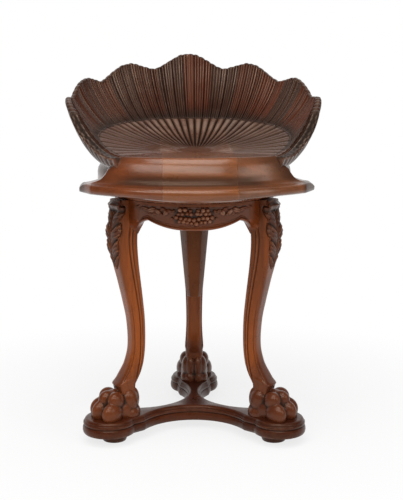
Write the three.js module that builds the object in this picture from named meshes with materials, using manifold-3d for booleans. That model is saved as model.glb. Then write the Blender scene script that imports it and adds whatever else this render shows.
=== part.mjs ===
// A revolving piano stool: a scallop-shell seat on a screw, over a three-legged
// base with lion-paw feet. Millimetres, +Z up. The origin is on the floor, on the
// axis the seat turns about, and the stool faces -Y.

import * as THREE from 'three';
import { mergeVertices } from 'three/addons/utils/BufferGeometryUtils.js';
import Module from 'manifold-3d';

const wasm = await Module();
wasm.setup();
const { Manifold, Mesh: SolidMesh } = wasm;

// Fits between pieces
const jointGap = 0.3; // between pieces that touch
const cutOverrun = 5; // how far a cutting shape runs past the face it cuts
const sideAngles = [210, 330, 90]; // where the three legs stand, in degrees
const sideNames = ['front_left', 'front_right', 'back'];
const apronAngles = [270, 30, 150];
const apronNames = ['front', 'right', 'left'];

// Aprons
const apronOuterRadius = 134;
const apronThickness = 22;
const apronCentreDrop = 42.6; // height of the apron at its middle
const apronCuspDrop = 28.7; // height at the two points of the lower edge
const apronEndDrop = 56.7; // height where it meets the leg
const apronCuspAcross = 74; // from the apron's middle plane to a point
const apronBracketWidth = 19; // from there across to the end of the bracket's curve
const apronEndAngle = 50.6; // degrees from the apron's middle to the leg
const berryRadius = 4.4;
const berryPitch = 8.6;
const berryRows = [7, 6, 4];
const berryTopDrop = 12; // from the apron's top to the first row

// Legs
const legTop = 407.7; // underside of the top board
const postWidth = 38;
const postSetBack = 27; // from the aprons' outside in to the back of a post
const ankleHeight = 96;
const kneeOverhang = 2; // how far a knee stands out past the aprons
const shinSetBack = 24; // from the knee in to the shin
const legGirth = 25.8; // at the thinnest part of the shin
const legEdgeShare = 0.2; // how much of a side the cut corners take
const postEdgeShare = 0.06; // the same at the square top of a leg
const leafDepth = 5;
const leafWidth = 26;
const leafTopDrop = 6.7; // from the top board's underside to the leaf's top
const leafLength = 111;
const mortiseHeight = 30;
const mortiseThickness = 8;
const mortiseDepth = 12;

// Paws
const pawLength = 80;
const pawWidth = 68;
const pawHeight = 46;
const pawForward = 16; // from the knee out to the paw's middle
const toeCount = 3;
const legDowelRadius = 6;
const legDowelLength = 40;
const legDowelDepth = 11; // how far the dowel goes into the platform

// Bun feet
const bunHeight = 15.8;
const bunRadius = 21.3;
const bunForward = 3; // from the paw's middle out to a foot's centre
const bunSpigotRadius = 6;
const bunSpigotHeight = 6;

// Platform with three round lobes
const platformThickness = 26.5;
const lobeForward = 9.3; // from a foot's centre out to the lobe's
const lobeRadius = 44.7;
const lobeHalfSweep = 135; // degrees of a lobe's arc, to each side of its outer end
const cuspSetBack = 49.3; // from a lobe's centre in to the sharp point beside a hollow side
const cuspSpread = 14.2; // degrees from the leg's direction to that point
const sideMiddleReach = 28.5; // from the axis to the middle of a hollow side
const platformStep = 2.4; // how far the groove round the edge and the bead over it step in
const platformRound = 6; // how far the rounded upper edge draws in

// Top board
const boardThickness = 8;
const boardOverhang = 2; // past the aprons
const boardRebateDepth = 16; // the part that drops inside the aprons
const boardScrewInset = 12; // from the aprons' outside in to a screw
const boardScrewLength = 26;
const boardScrewRadius = 2.2;
const boardScrewHeadRadius = 4.4;
const boardScrewHeadHeight = 3;

// Housing of the screw, a tapered post with six sides
const housingTopWidth = 58; // across corners, at the top board
const housingFootWidth = 30.7; // across corners, where the bevel starts
const housingFootHeight = 244;
const housingTipHeight = 231;
const housingTipWidth = 25;
const housingSpigotRadius = 22;
const housingSpigotHeight = 8;
const housingSides = 6;

// Screw and nut
const screwRadius = 9.5;
const threadDepth = 2;
const threadPitch = 8;
const threadRootWidth = 4.2;
const threadCrestWidth = 2.6;
const threadRadialClearance = 0.7;
const threadSideClearance = 0.4;
const threadStepCount = 12; // flat steps in one turn
const liftTurns = 10;
const nutLength = 40;
const nutRadius = 15.8;
const nutFlangeRadius = 31;
const nutFlangeThickness = 5;
const nutScrewReach = 24;
const nutScrewCount = 4;
const nutScrewRadius = 2;
const nutScrewHeadRadius = 4;
const nutScrewHeadHeight = 2.4;
const nutScrewLength = 15;
const collarRadius = 15;
const collarThickness = 2.1;
const screwSpigotRadius = 6;
const stopWasherRadius = 12;
const stopWasherThickness = 4;
const stopBoltHeadRadius = 8;
const stopBoltHeadHeight = 5;
const stopBoltRadius = 3;
const stopBoltLength = 16;
const stopRunOff = 1; // spare travel left between the washer and the nut
const boreClearance = 0.6; // round the washer inside the housing

// Iron plate under the seat
const plateThickness = 6;
const plateHubRadius = 34;
const plateArmLength = 86;
const plateArmWidth = 26;
const plateArmCount = 4;
const plateScrewRadius = 2.4;
const plateScrewHeadRadius = 4.8;
const plateScrewHeadHeight = 3;
const plateScrewLength = 24;
const plateScrewInset = 10; // from the arm's end to the outer screw
const plateScrewSpacing = 26;

// Seat, at its lowest
const seatRestTurn = 3; // degrees the seat stands turned, seen from above
const seatGap = 2.7; // between the top board and the seat's underside
const plankHalfWidth = 57.5; // half of the middle plank
const slabRadius = 162;
const slabHeight = 44;
const slabRound = 12;
const railReach = 207; // from the axis to the front of the rail
const railBow = 250; // radius of the rail's curve
const railHeight = 65.3;
const railHalfWidth = 188;
const railDepth = 38; // from the front edge back to the seat's hollow
const railBackDepth = 46;
const earChamfer = 19;
const railEndWidth = 66;
const railBelly = 5.5; // how far the middle of the lower edge hangs down
const shellBack = 45; // from the axis forward to where the flutes meet
const shellReach = 247; // from there to the back of the rim
const shellHeight = 156; // from the hollow's front edge to the highest lobe
const floorRise = 43; // from that edge up to the foot of the back wall
const rimThickness = 10;
const rimFrontThickness = 18;
const fluteDepth = 1.6;
const shellEndAngle = 128.3; // degrees round from the back to the shell's front end
const fluteCount = 27; // from the middle of the back to each front end of the shell
const grooveHalfShare = 0.12; // half of the groove between two flutes
const wallFootShare = 0.26; // how far up the outside the wall and the planks meet
const rimSwellStart = 70; // degrees from the back where the rim starts to thicken
const rimSwellEnd = 100;
const curveExponent = 1.5; // how round the lobes and the shell's outside are

// Steps of the round shapes
const screwSteps = 8;
const holeSteps = 12;
const bunSteps = 20;
const roundSteps = 28;
const slabSteps = 44;
const tipShare = 0.3; // how blunt a screw's or dowel's end is

// Places and heights that follow
const leafTop = legTop - leafTopDrop;
const leafTip = leafTop - leafLength;
const kneeReach = apronOuterRadius + kneeOverhang;
const shinReach = kneeReach - shinSetBack;
const pawReach = kneeReach + pawForward;
const postInnerReach = apronOuterRadius - postSetBack;
const mortiseReach = apronOuterRadius - apronThickness / 2;
const bunReach = pawReach + bunForward;
const lobeReach = bunReach + lobeForward;
const cuspReach = lobeReach - cuspSetBack;
const boardRadius = apronOuterRadius + boardOverhang;
const boardScrewReach = apronOuterRadius - boardScrewInset;
const platformBottom = bunHeight + jointGap;
const platformTop = platformBottom + platformThickness;
const legBottom = platformTop + jointGap;
const boardBottom = legTop + jointGap;
const boardTop = boardBottom + boardThickness;
const seatBottom = boardTop + seatGap;
const liftTravel = liftTurns * threadPitch;
const nutBottom = boardTop - nutLength;
const stopWasherTop = nutBottom - stopRunOff - liftTravel;
const screwEnd = stopWasherTop + jointGap;
const stopWasherBottom = stopWasherTop - stopWasherThickness;
const housingBoreRadius = stopWasherRadius + boreClearance;
const housingBoreBottom = stopWasherBottom - stopBoltHeadHeight - cutOverrun;
const housingTop = boardBottom - boardRebateDepth - jointGap;
const hollowFront = seatBottom + railHeight;
const fluteAngle = shellEndAngle / fluteCount;

// Colours of the real pieces
function wood(colour, roughness) {
  return new THREE.MeshStandardMaterial({ color: colour, roughness, metalness: 0 });
}
const legWood = wood(0x7a3f1d, 0.42);
const baseWood = wood(0x5c2f1a, 0.45);
const apronWood = wood(0x74391b, 0.42);
const seatWood = wood(0x5e3220, 0.38);
const shellWood = wood(0x4b2a1e, 0.36);
const hiddenWood = wood(0x8a5a34, 0.7);
const iron = new THREE.MeshStandardMaterial({ color: 0x3a3633, roughness: 0.6, metalness: 0.9 });
const steel = new THREE.MeshStandardMaterial({ color: 0x8d8a85, roughness: 0.35, metalness: 1 });

// Small helpers

const radians = THREE.MathUtils.degToRad;
const lerp = THREE.MathUtils.lerp;
const clamp = THREE.MathUtils.clamp;
const smooth = (value) => THREE.MathUtils.smoothstep(value, 0, 1);

// Reads a table of [place, value] pairs, with straight runs between them.
function readTable(table, place) {
  if (place <= table[0][0]) return table[0][1];
  for (let i = 1; i < table.length; i += 1) {
    const [end, value] = table[i];
    if (place <= end) {
      const [start, before] = table[i - 1];
      return lerp(before, value, (place - start) / (end - start));
    }
  }
  return table[table.length - 1][1];
}

// Reads the same kind of table with an even curve through the pairs.
function readCurve(table, place) {
  if (place <= table[0][0]) return table[0][1];
  const last = table.length - 1;
  if (place >= table[last][0]) return table[last][1];
  let i = 1;
  while (table[i][0] < place) i += 1;
  const slope = (a, b) => (table[b][1] - table[a][1]) / (table[b][0] - table[a][0]);
  const startSlope = i > 1 ? slope(i - 2, i) : slope(i - 1, i);
  const endSlope = i < last ? slope(i - 1, i + 1) : slope(i - 1, i);
  const span = table[i][0] - table[i - 1][0];
  const t = (place - table[i - 1][0]) / span;
  const t2 = t * t;
  const t3 = t2 * t;
  return (2 * t3 - 3 * t2 + 1) * table[i - 1][1] + (t3 - 2 * t2 + t) * span * startSlope
    + (3 * t2 - 2 * t3) * table[i][1] + (t3 - t2) * span * endSlope;
}

// A closed mesh as a solid, turned right side out.
function solidFrom(vertices, faces) {
  let volume = 0;
  const corner = (k) => new THREE.Vector3().fromArray(vertices, 3 * k);
  for (let i = 0; i < faces.length; i += 3) {
    volume += corner(faces[i]).dot(corner(faces[i + 1]).cross(corner(faces[i + 2])));
  }
  return new Manifold(new SolidMesh({
    numProp: 3,
    vertProperties: new Float32Array(vertices),
    triVerts: new Uint32Array(volume < 0 ? [...faces].reverse() : faces),
  }));
}

// A three.js geometry as a solid, with its shared corners merged.
function solid(geometry) {
  const bare = geometry.clone();
  for (const name of Object.keys(bare.attributes)) {
    if (name !== 'position') bare.deleteAttribute(name);
  }
  const merged = mergeVertices(bare, 1e-4);
  const index = [...merged.index.array];
  const faces = [];
  for (let i = 0; i < index.length; i += 3) {
    const [a, b, c] = index.slice(i, i + 3);
    if (a !== b && b !== c && c !== a) faces.push(a, b, c);
  }
  return solidFrom([...merged.attributes.position.array], faces);
}

function geometryOf(body) {
  const mesh = body.getMesh();
  const geometry = new THREE.BufferGeometry();
  geometry.setAttribute('position', new THREE.BufferAttribute(new Float32Array(mesh.vertProperties), 3));
  geometry.setIndex(new THREE.BufferAttribute(new Uint32Array(mesh.triVerts), 1));
  geometry.computeVertexNormals();
  return geometry;
}

// A closed body through a row of rings with equally many points each.
function loft(rings) {
  const vertices = [];
  const faces = [];
  const count = rings[0].length;
  for (const ring of rings) for (const point of ring) vertices.push(point.x, point.y, point.z);
  for (let r = 0; r + 1 < rings.length; r += 1) {
    for (let i = 0; i < count; i += 1) {
      const a = r * count + i;
      const b = r * count + ((i + 1) % count);
      faces.push(a, b, b + count, a, b + count, a + count);
    }
  }
  const capEnd = (ring, start) => {
    const across = flatAxes(ring);
    const outline = ring.map((corner) => new THREE.Vector2(corner.dot(across[0]), corner.dot(across[1])));
    const cap = THREE.ShapeUtils.triangulateShape(outline, []);
    if (cap.length === count - 2) {
      for (const [a, b, c] of cap) faces.push(start + a, start + b, start + c);
      return;
    }
    const middle = ring.reduce((sum, corner) => sum.add(corner), new THREE.Vector3()).divideScalar(count);
    const hub = vertices.length / 3;
    vertices.push(middle.x, middle.y, middle.z);
    for (let i = 0; i < count; i += 1) faces.push(start + i, start + ((i + 1) % count), hub);
  };
  capEnd(rings[0], 0);
  capEnd(rings[rings.length - 1], (rings.length - 1) * count);
  return solidFrom(vertices, closeWinding(faces));
}

// Two directions that span a ring's plane.
function flatAxes(ring) {
  const normal = new THREE.Vector3();
  ring.forEach((point, i) => {
    const next = ring[(i + 1) % ring.length];
    normal.add(new THREE.Vector3().crossVectors(point, next));
  });
  normal.normalize();
  const helper = Math.abs(normal.z) > 0.5 ? new THREE.Vector3(1, 0, 0) : new THREE.Vector3(0, 0, 1);
  const first = new THREE.Vector3().crossVectors(helper, normal).normalize();
  return [first, new THREE.Vector3().crossVectors(normal, first)];
}

// Turns each end cap to agree with the sides: every edge is used once each way.
function closeWinding(faces) {
  const triangles = [];
  for (let i = 0; i < faces.length; i += 3) triangles.push(faces.slice(i, i + 3));
  const users = new Map();
  triangles.forEach((triangle, t) => {
    for (let k = 0; k < 3; k += 1) {
      const a = triangle[k];
      const b = triangle[(k + 1) % 3];
      const key = a < b ? `${a} ${b}` : `${b} ${a}`;
      if (!users.has(key)) users.set(key, []);
      users.get(key).push([t, a < b]);
    }
  });
  const flip = new Array(triangles.length).fill(null);
  flip[0] = false;
  const queue = [0];
  while (queue.length) {
    const t = queue.pop();
    const triangle = triangles[t];
    for (let k = 0; k < 3; k += 1) {
      const a = triangle[k];
      const b = triangle[(k + 1) % 3];
      const key = a < b ? `${a} ${b}` : `${b} ${a}`;
      const forward = (a < b) !== flip[t];
      for (const [other, otherForward] of users.get(key)) {
        if (other !== t && flip[other] === null) {
          flip[other] = otherForward === forward;
          queue.push(other);
        }
      }
    }
  }
  return triangles.flatMap(([a, b, c], t) => (flip[t] ? [a, c, b] : [a, b, c]));
}

// A body turned about the Z axis from [radius, height] points that start and end on the axis.
function turned(profile, steps) {
  const points = profile.map(([radius, height]) => new THREE.Vector2(radius, height));
  return solid(new THREE.LatheGeometry(points, steps).rotateX(Math.PI / 2));
}

function rod(radius, bottom, top, steps) {
  return turned([[0, bottom], [radius, bottom], [radius, top], [0, top]], steps);
}

function block(low, high) {
  const size = new THREE.Vector3().subVectors(high, low);
  const middle = new THREE.Vector3().addVectors(low, high).multiplyScalar(0.5);
  return solid(new THREE.BoxGeometry(size.x, size.y, size.z).translate(middle.x, middle.y, middle.z));
}

// Fills the small pockets that joined shapes can leave sealed inside.
function filled(body) {
  return Manifold.compose(body.decompose().filter((shell) => shell.volume() > 0));
}

const point = (x, y, z) => new THREE.Vector3(x, y, z);
const spun = (body, degrees) => body.rotate([0, 0, degrees]);
const polar = (radius, degrees, z = 0) => point(
  radius * Math.cos(radians(degrees)), radius * Math.sin(radians(degrees)), z,
);
const moved = (body, place) => body.translate([place.x, place.y, place.z]);

// A countersunk screw that points down, with its head's top at the given height.
function woodScrew(radius, headRadius, headHeight, length, top) {
  const headBottom = top - headHeight;
  const tipStart = top - length + 2 * radius;
  return turned([
    [0, top - length], [radius * tipShare, top - length], [radius, tipStart],
    [radius, headBottom], [headRadius, top], [0, top],
  ], screwSteps);
}

// The hole that a countersunk screw sits in.
function screwHole(radius, headRadius, headHeight, length, top) {
  return turned([
    [0, top - length - jointGap], [radius + jointGap, top - length - jointGap],
    [radius + jointGap, top - headHeight], [headRadius + jointGap, top + jointGap],
    [headRadius + jointGap, top + cutOverrun], [0, top + cutOverrun],
  ], screwSteps);
}

// Platform and feet

// The arc of a hollow side, through its two sharp points and its middle.
function hollowArc() {
  const across = cuspReach * Math.cos(radians(60 - cuspSpread));
  const reach = (cuspReach ** 2 - sideMiddleReach ** 2) / (2 * (across - sideMiddleReach));
  return { reach, radius: reach - sideMiddleReach };
}
const sideHollow = hollowArc();

// The platform's outline, drawn inward by an inset.
function platformOutline(inset) {
  const points = [];
  const lobeSteps = 12;
  const sideSteps = 9;
  sideAngles.slice().sort((a, b) => a - b).forEach((angle) => {
    const centre = polar(lobeReach, angle);
    for (let i = 0; i <= lobeSteps; i += 1) {
      const turn = angle - lobeHalfSweep + (2 * lobeHalfSweep * i) / lobeSteps;
      points.push(centre.clone().add(polar(lobeRadius - inset, turn)));
    }
    const hollow = polar(sideHollow.reach, angle + 60);
    const start = polar(cuspReach, angle + cuspSpread).sub(hollow);
    const end = polar(cuspReach, angle + 120 - cuspSpread).sub(hollow);
    const startAngle = THREE.MathUtils.radToDeg(Math.atan2(start.y, start.x));
    let endAngle = THREE.MathUtils.radToDeg(Math.atan2(end.y, end.x));
    while (endAngle > startAngle) endAngle -= 360;
    for (let i = 0; i <= sideSteps; i += 1) {
      const turn = lerp(startAngle, endAngle, i / sideSteps);
      points.push(hollow.clone().add(polar(sideHollow.radius + inset, turn)));
    }
  });
  return points;
}

function makePlatform() {
  const height = platformThickness;
  const rings = [
    [platformStep * 0.6, 0], [0, height * 0.12], [0, height * 0.5],
    [platformStep * 0.7, height * 0.55], [platformStep * 0.4, height * 0.8], [platformRound, height],
  ].map(([inset, rise]) => platformOutline(inset).map((p) => point(p.x, p.y, platformBottom + rise)));
  let body = loft(rings);
  for (const angle of sideAngles) {
    const foot = rod(
      bunSpigotRadius + jointGap, platformBottom - cutOverrun,
      platformBottom + bunSpigotHeight + jointGap, holeSteps,
    );
    body = body.subtract(moved(foot, polar(bunReach, angle)));
    const dowel = rod(
      legDowelRadius + jointGap, platformTop - legDowelDepth - jointGap,
      platformTop + cutOverrun, holeSteps,
    );
    body = body.subtract(moved(dowel, polar(pawReach, angle)));
  }
  return body;
}

function makeBunFoot() {
  return turned([
    [0, 0], [bunRadius * 0.86, 0], [bunRadius * 0.97, bunHeight * 0.22], [bunRadius, bunHeight * 0.5],
    [bunRadius * 0.96, bunHeight * 0.78], [bunRadius * 0.84, bunHeight], [bunSpigotRadius, bunHeight],
    [bunSpigotRadius, bunHeight + bunSpigotHeight], [0, bunHeight + bunSpigotHeight],
  ], bunSteps);
}

function makeLegDowel() {
  const bottom = platformTop - legDowelDepth;
  const slope = legDowelRadius * tipShare;
  return turned([
    [0, bottom], [legDowelRadius - slope, bottom], [legDowelRadius, bottom + slope],
    [legDowelRadius, bottom + legDowelLength - slope],
    [legDowelRadius - slope, bottom + legDowelLength], [0, bottom + legDowelLength],
  ], holeSteps);
}

// Legs, drawn pointing along +X

// How far the leg's middle stands from the axis, as shares of the run from shin to knee.
const legLineShares = [
  [0, 1], [0.055, 0.55], [0.11, 0.22], [0.2, 0], [0.34, 0.04], [0.45, 0.25],
  [0.56, 0.51], [0.66, 0.76], [0.75, 0.9], [0.81, 0.91], [0.86, 0.82], [0.93, 0.7], [1, 0.66],
];
// The leg's thickness, as shares of the run from shin to knee.
const legGirthShares = [
  [0, 0.56], [0.055, 0.43], [0.11, 0.2], [0.2, 0], [0.34, 0.12], [0.45, 0.37],
  [0.56, 0.64], [0.66, 0.86], [0.75, 0.96], [0.81, 1], [1, 1],
];
const legStationShares = [
  0, 0.03, 0.06, 0.1, 0.15, 0.2, 0.28, 0.36, 0.44, 0.52, 0.6, 0.68, 0.75, 0.8, 0.85, 1,
];

function legPlace(share) {
  return {
    reach: lerp(shinReach, kneeReach, readCurve(legLineShares, share)),
    girth: lerp(legGirth, postWidth, readCurve(legGirthShares, share)),
    height: lerp(ankleHeight, legTop, share),
  };
}

// A square ring with cut corners, in the plane of one height.
function squareRing(low, high, halfWidth, height, edgeShare) {
  const cutX = (high - low) * edgeShare;
  const cutY = 2 * halfWidth * edgeShare;
  return [
    [low, -halfWidth + cutY], [low + cutX, -halfWidth], [high - cutX, -halfWidth],
    [high, -halfWidth + cutY], [high, halfWidth - cutY], [high - cutX, halfWidth],
    [low + cutX, halfWidth], [low, halfWidth - cutY],
  ].map(([x, y]) => point(x, y, height));
}

function legShaft() {
  const rings = [];
  rings.push(squareRing(
    pawReach - pawLength * 0.46, pawReach + pawLength * 0.12, pawWidth * 0.36,
    legBottom + pawHeight * 0.25, legEdgeShare,
  ));
  for (const share of legStationShares) {
    const { reach, girth, height } = legPlace(share);
    const edge = lerp(legEdgeShare, postEdgeShare, smooth((share - 0.7) / 0.15));
    rings.push(squareRing(reach - girth / 2, reach + girth / 2, girth / 2, height, edge));
  }
  return loft(rings);
}

// Half-widths of the carved leaf down the knee, from its top to its tip.
const leafWidthShares = [
  [0, 0.55], [0.05, 0.9], [0.12, 0.75], [0.2, 1], [0.28, 0.78], [0.36, 0.95], [0.45, 0.68],
  [0.54, 0.8], [0.64, 0.5], [0.74, 0.58], [0.86, 0.3], [1, 0.04],
];
const leafLiftShares = [
  [0, 2.6], [0.05, 2.3], [0.1, 1.2], [0.2, 0.9], [0.4, 1.1], [0.7, 0.8], [1, 0.2],
];

// The front of the leg at any height above the ankle.
function legFace(height) {
  const { reach, girth } = legPlace((height - ankleHeight) / (legTop - ankleHeight));
  return reach + girth / 2;
}

function leafRelief() {
  const rings = leafWidthShares.map(([share, width]) => {
    const height = lerp(leafTop, leafTip, share);
    const face = legFace(height);
    const half = (leafWidth / 2) * width;
    const lift = leafDepth * readTable(leafLiftShares, share);
    return [
      point(face - leafDepth, -half, height), point(face + lift * 0.45, -half, height),
      point(face + lift, 0, height), point(face + lift * 0.45, half, height),
      point(face - leafDepth, half, height),
    ];
  });
  return loft(rings);
}

function ellipsoid(centre, size, wide, high) {
  const ball = new THREE.SphereGeometry(0.5, wide, high).rotateX(Math.PI / 2);
  ball.scale(size.x, size.y, size.z).translate(centre.x, centre.y, centre.z);
  return solid(ball);
}

function makePaw() {
  const heel = pawReach - pawLength / 2;
  const shape = [ellipsoid(
    point(heel + pawLength * 0.4, 0, legBottom + pawHeight * 0.34),
    point(pawLength * 0.84, pawWidth * 0.92, pawHeight * 1.3), 10, 7,
  )];
  for (let toe = 0; toe < toeCount; toe += 1) {
    const side = toe - (toeCount - 1) / 2;
    const across = side * pawWidth * 0.3;
    const setBack = pawLength * 0.11 * side * side;
    const upper = point(heel + pawLength * 0.6 - setBack, across * 0.92, legBottom + pawHeight * 0.64);
    const lower = point(heel + pawLength * 0.78 - setBack, across, legBottom + pawHeight * 0.2);
    const wide = pawWidth * 0.35;
    shape.push(ellipsoid(upper, point(pawLength * 0.38, wide, pawHeight * 0.52), 7, 5));
    shape.push(ellipsoid(lower, point(pawLength * 0.42, wide, pawHeight * 0.56), 7, 5));
  }
  const whole = Manifold.union(shape);
  const room = block(
    point(heel - pawLength, -pawWidth, legBottom),
    point(heel + 2 * pawLength, pawWidth, legBottom + 2 * pawHeight),
  );
  return whole.intersect(room);
}

function makeLeg() {
  let body = Manifold.union([legShaft(), leafRelief(), makePaw()]);
  const dowel = rod(
    legDowelRadius + jointGap, legBottom - cutOverrun,
    platformTop - legDowelDepth + legDowelLength + jointGap, holeSteps,
  );
  body = body.subtract(moved(dowel, point(pawReach, 0, 0)));
  for (const side of [-1, 1]) {
    const { low, high } = tenonBox(side, mortiseDepth + jointGap, jointGap);
    body = body.subtract(block(low, high));
  }
  const screw = screwHole(
    boardScrewRadius, boardScrewHeadRadius, boardScrewHeadHeight, boardScrewLength, boardTop,
  );
  return body.subtract(moved(screw, point(boardScrewReach, 0, 0)));
}

// The space of a tenon that enters the side of a post, in the leg's own frame.
function tenonBox(side, depth, clearance) {
  const face = postWidth / 2;
  const outer = side * (face + mortiseDepth);
  const inner = side * (face - depth);
  const middle = legTop - apronCentreDrop / 2;
  return {
    low: point(
      mortiseReach - mortiseThickness / 2 - clearance, Math.min(outer, inner),
      middle - mortiseHeight / 2 - clearance,
    ),
    high: point(
      mortiseReach + mortiseThickness / 2 + clearance, Math.max(outer, inner),
      middle + mortiseHeight / 2 + clearance,
    ),
  };
}

// Aprons, drawn with their middle along +X

// How far the lower edge hangs below the apron's top, by distance from its middle plane.
function apronDrop(across) {
  const away = Math.abs(across);
  if (away <= apronCuspAcross) {
    return lerp(apronCentreDrop, apronCuspDrop, (away / apronCuspAcross) ** 2.6);
  }
  const share = clamp((away - apronCuspAcross) / apronBracketWidth, 0, 1);
  return lerp(apronCuspDrop, apronEndDrop, 1 - Math.sqrt(1 - share * share));
}

function apronRing(angle) {
  const inner = apronOuterRadius - apronThickness;
  const lip = apronThickness * 0.12;
  const bottomAt = (radius) => legTop - apronDrop(radius * Math.sin(radians(angle)));
  return [
    polar(inner, angle, bottomAt(inner)),
    polar(apronOuterRadius - lip, angle, bottomAt(apronOuterRadius)),
    polar(apronOuterRadius, angle, bottomAt(apronOuterRadius) + lip),
    polar(apronOuterRadius, angle, legTop),
    polar(inner, angle, legTop),
  ];
}

const apronStationShares = [0, 0.22, 0.42, 0.58, 0.72, 0.86, 1];
const bracketStationShares = [0.15, 0.3, 0.42, 0.52, 0.58, 0.62, 0.8, 1, 1.3];

function makeApron() {
  const cuspAngle = THREE.MathUtils.radToDeg(Math.asin(apronCuspAcross / apronOuterRadius));
  const half = [
    ...apronStationShares.map((share) => share * cuspAngle),
    ...bracketStationShares.map((share) => lerp(cuspAngle, apronEndAngle, share)),
  ];
  const angles = [...half.slice(1).map((angle) => -angle).reverse(), ...half];
  let body = loft(angles.map(apronRing));
  for (const side of [-1, 1]) {
    const post = block(
      point(0, -postWidth / 2 - jointGap, legTop - 2 * apronCentreDrop),
      point(2 * apronOuterRadius, postWidth / 2 + jointGap, legTop + cutOverrun),
    );
    body = body.subtract(spun(post, side * 60));
    const { low, high } = tenonBox(-side, mortiseDepth, 0);
    body = body.add(spun(block(low, high), side * 60));
  }
  const screw = screwHole(
    boardScrewRadius, boardScrewHeadRadius, boardScrewHeadHeight, boardScrewLength, boardTop,
  );
  body = body.subtract(moved(screw, point(boardScrewReach, 0, 0)));
  return Manifold.union([body, ...berryCluster()]);
}

// A bunch of berries in rows, with a leaf to each side of it.
function berryCluster() {
  const shapes = [];
  berryRows.forEach((count, row) => {
    for (let i = 0; i < count; i += 1) {
      const across = (i - (count - 1) / 2) * berryPitch;
      const angle = THREE.MathUtils.radToDeg(across / apronOuterRadius);
      const height = legTop - berryTopDrop - row * berryPitch * 0.82;
      const size = point(berryRadius * 1.4, 2 * berryRadius, 2 * berryRadius);
      const berry = ellipsoid(point(apronOuterRadius, 0, height), size, 6, 3);
      shapes.push(spun(berry, angle));
    }
  });
  const rowLength = berryRows[0] * berryPitch;
  for (const side of [-1, 1]) {
    for (const [share, size] of [[0.66, 1.1], [0.86, 0.8], [1.04, 0.5]]) {
      const angle = THREE.MathUtils.radToDeg((side * share * rowLength) / apronOuterRadius);
      const leaf = ellipsoid(
        point(apronOuterRadius, 0, legTop - berryTopDrop - berryPitch * 0.3),
        point(berryRadius, 3 * berryRadius * size, 2 * berryRadius * size), 5, 3,
      );
      shapes.push(spun(leaf, angle));
    }
  }
  return shapes;
}

// Top board, housing, nut and screw

function makeTopBoard() {
  const rebateRadius = apronOuterRadius - apronThickness - 2 * jointGap;
  const low = boardBottom - boardRebateDepth;
  const round = boardThickness * 0.3;
  let body = turned([
    [0, low], [rebateRadius, low], [rebateRadius, boardBottom], [boardRadius - round, boardBottom],
    [boardRadius, boardBottom + round], [boardRadius, boardTop - round], [boardRadius - round, boardTop],
    [0, boardTop],
  ], slabSteps);
  const screw = screwHole(
    boardScrewRadius, boardScrewHeadRadius, boardScrewHeadHeight, boardScrewLength, boardTop,
  );
  for (const angle of sideAngles) {
    const post = block(
      point(postInnerReach - jointGap, -postWidth / 2 - jointGap, low - cutOverrun),
      point(boardRadius + cutOverrun, postWidth / 2 + jointGap, boardBottom),
    );
    body = body.subtract(spun(post, angle));
  }
  for (const place of boardScrewPlaces) body = body.subtract(moved(screw, place));
  const nutSeat = turned([
    [0, low - cutOverrun], [housingSpigotRadius + jointGap, low - cutOverrun],
    [housingSpigotRadius + jointGap, low + housingSpigotHeight],
    [nutRadius + jointGap, low + housingSpigotHeight],
    [nutRadius + jointGap, boardTop - nutFlangeThickness - jointGap],
    [nutFlangeRadius + jointGap, boardTop - nutFlangeThickness - jointGap],
    [nutFlangeRadius + jointGap, boardTop + cutOverrun], [0, boardTop + cutOverrun],
  ], roundSteps);
  body = body.subtract(nutSeat);
  const hole = screwHole(
    nutScrewRadius, nutScrewHeadRadius, nutScrewHeadHeight, nutScrewLength, boardTop,
  );
  for (const place of nutScrewPlaces) body = body.subtract(moved(hole, place));
  return body;
}

function makeHousing() {
  const ring = (width, height) => {
    const points = [];
    for (let i = 0; i < housingSides; i += 1) points.push(polar(width / 2, i * (360 / housingSides), height));
    return points;
  };
  const body = loft([
    ring(housingTipWidth, housingTipHeight), ring(housingFootWidth, housingFootHeight),
    ring(housingTopWidth, housingTop),
  ]);
  const spigotTop = housingTop + housingSpigotHeight;
  const spigot = rod(housingSpigotRadius, housingTop - cutOverrun, spigotTop, roundSteps);
  const counterbore = nutBottom - jointGap;
  const bore = turned([
    [0, housingBoreBottom], [housingBoreRadius, housingBoreBottom], [housingBoreRadius, counterbore],
    [nutRadius + jointGap, counterbore], [nutRadius + jointGap, spigotTop + cutOverrun],
    [0, spigotTop + cutOverrun],
  ], bunSteps);
  return body.add(spigot).subtract(bore);
}

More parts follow.
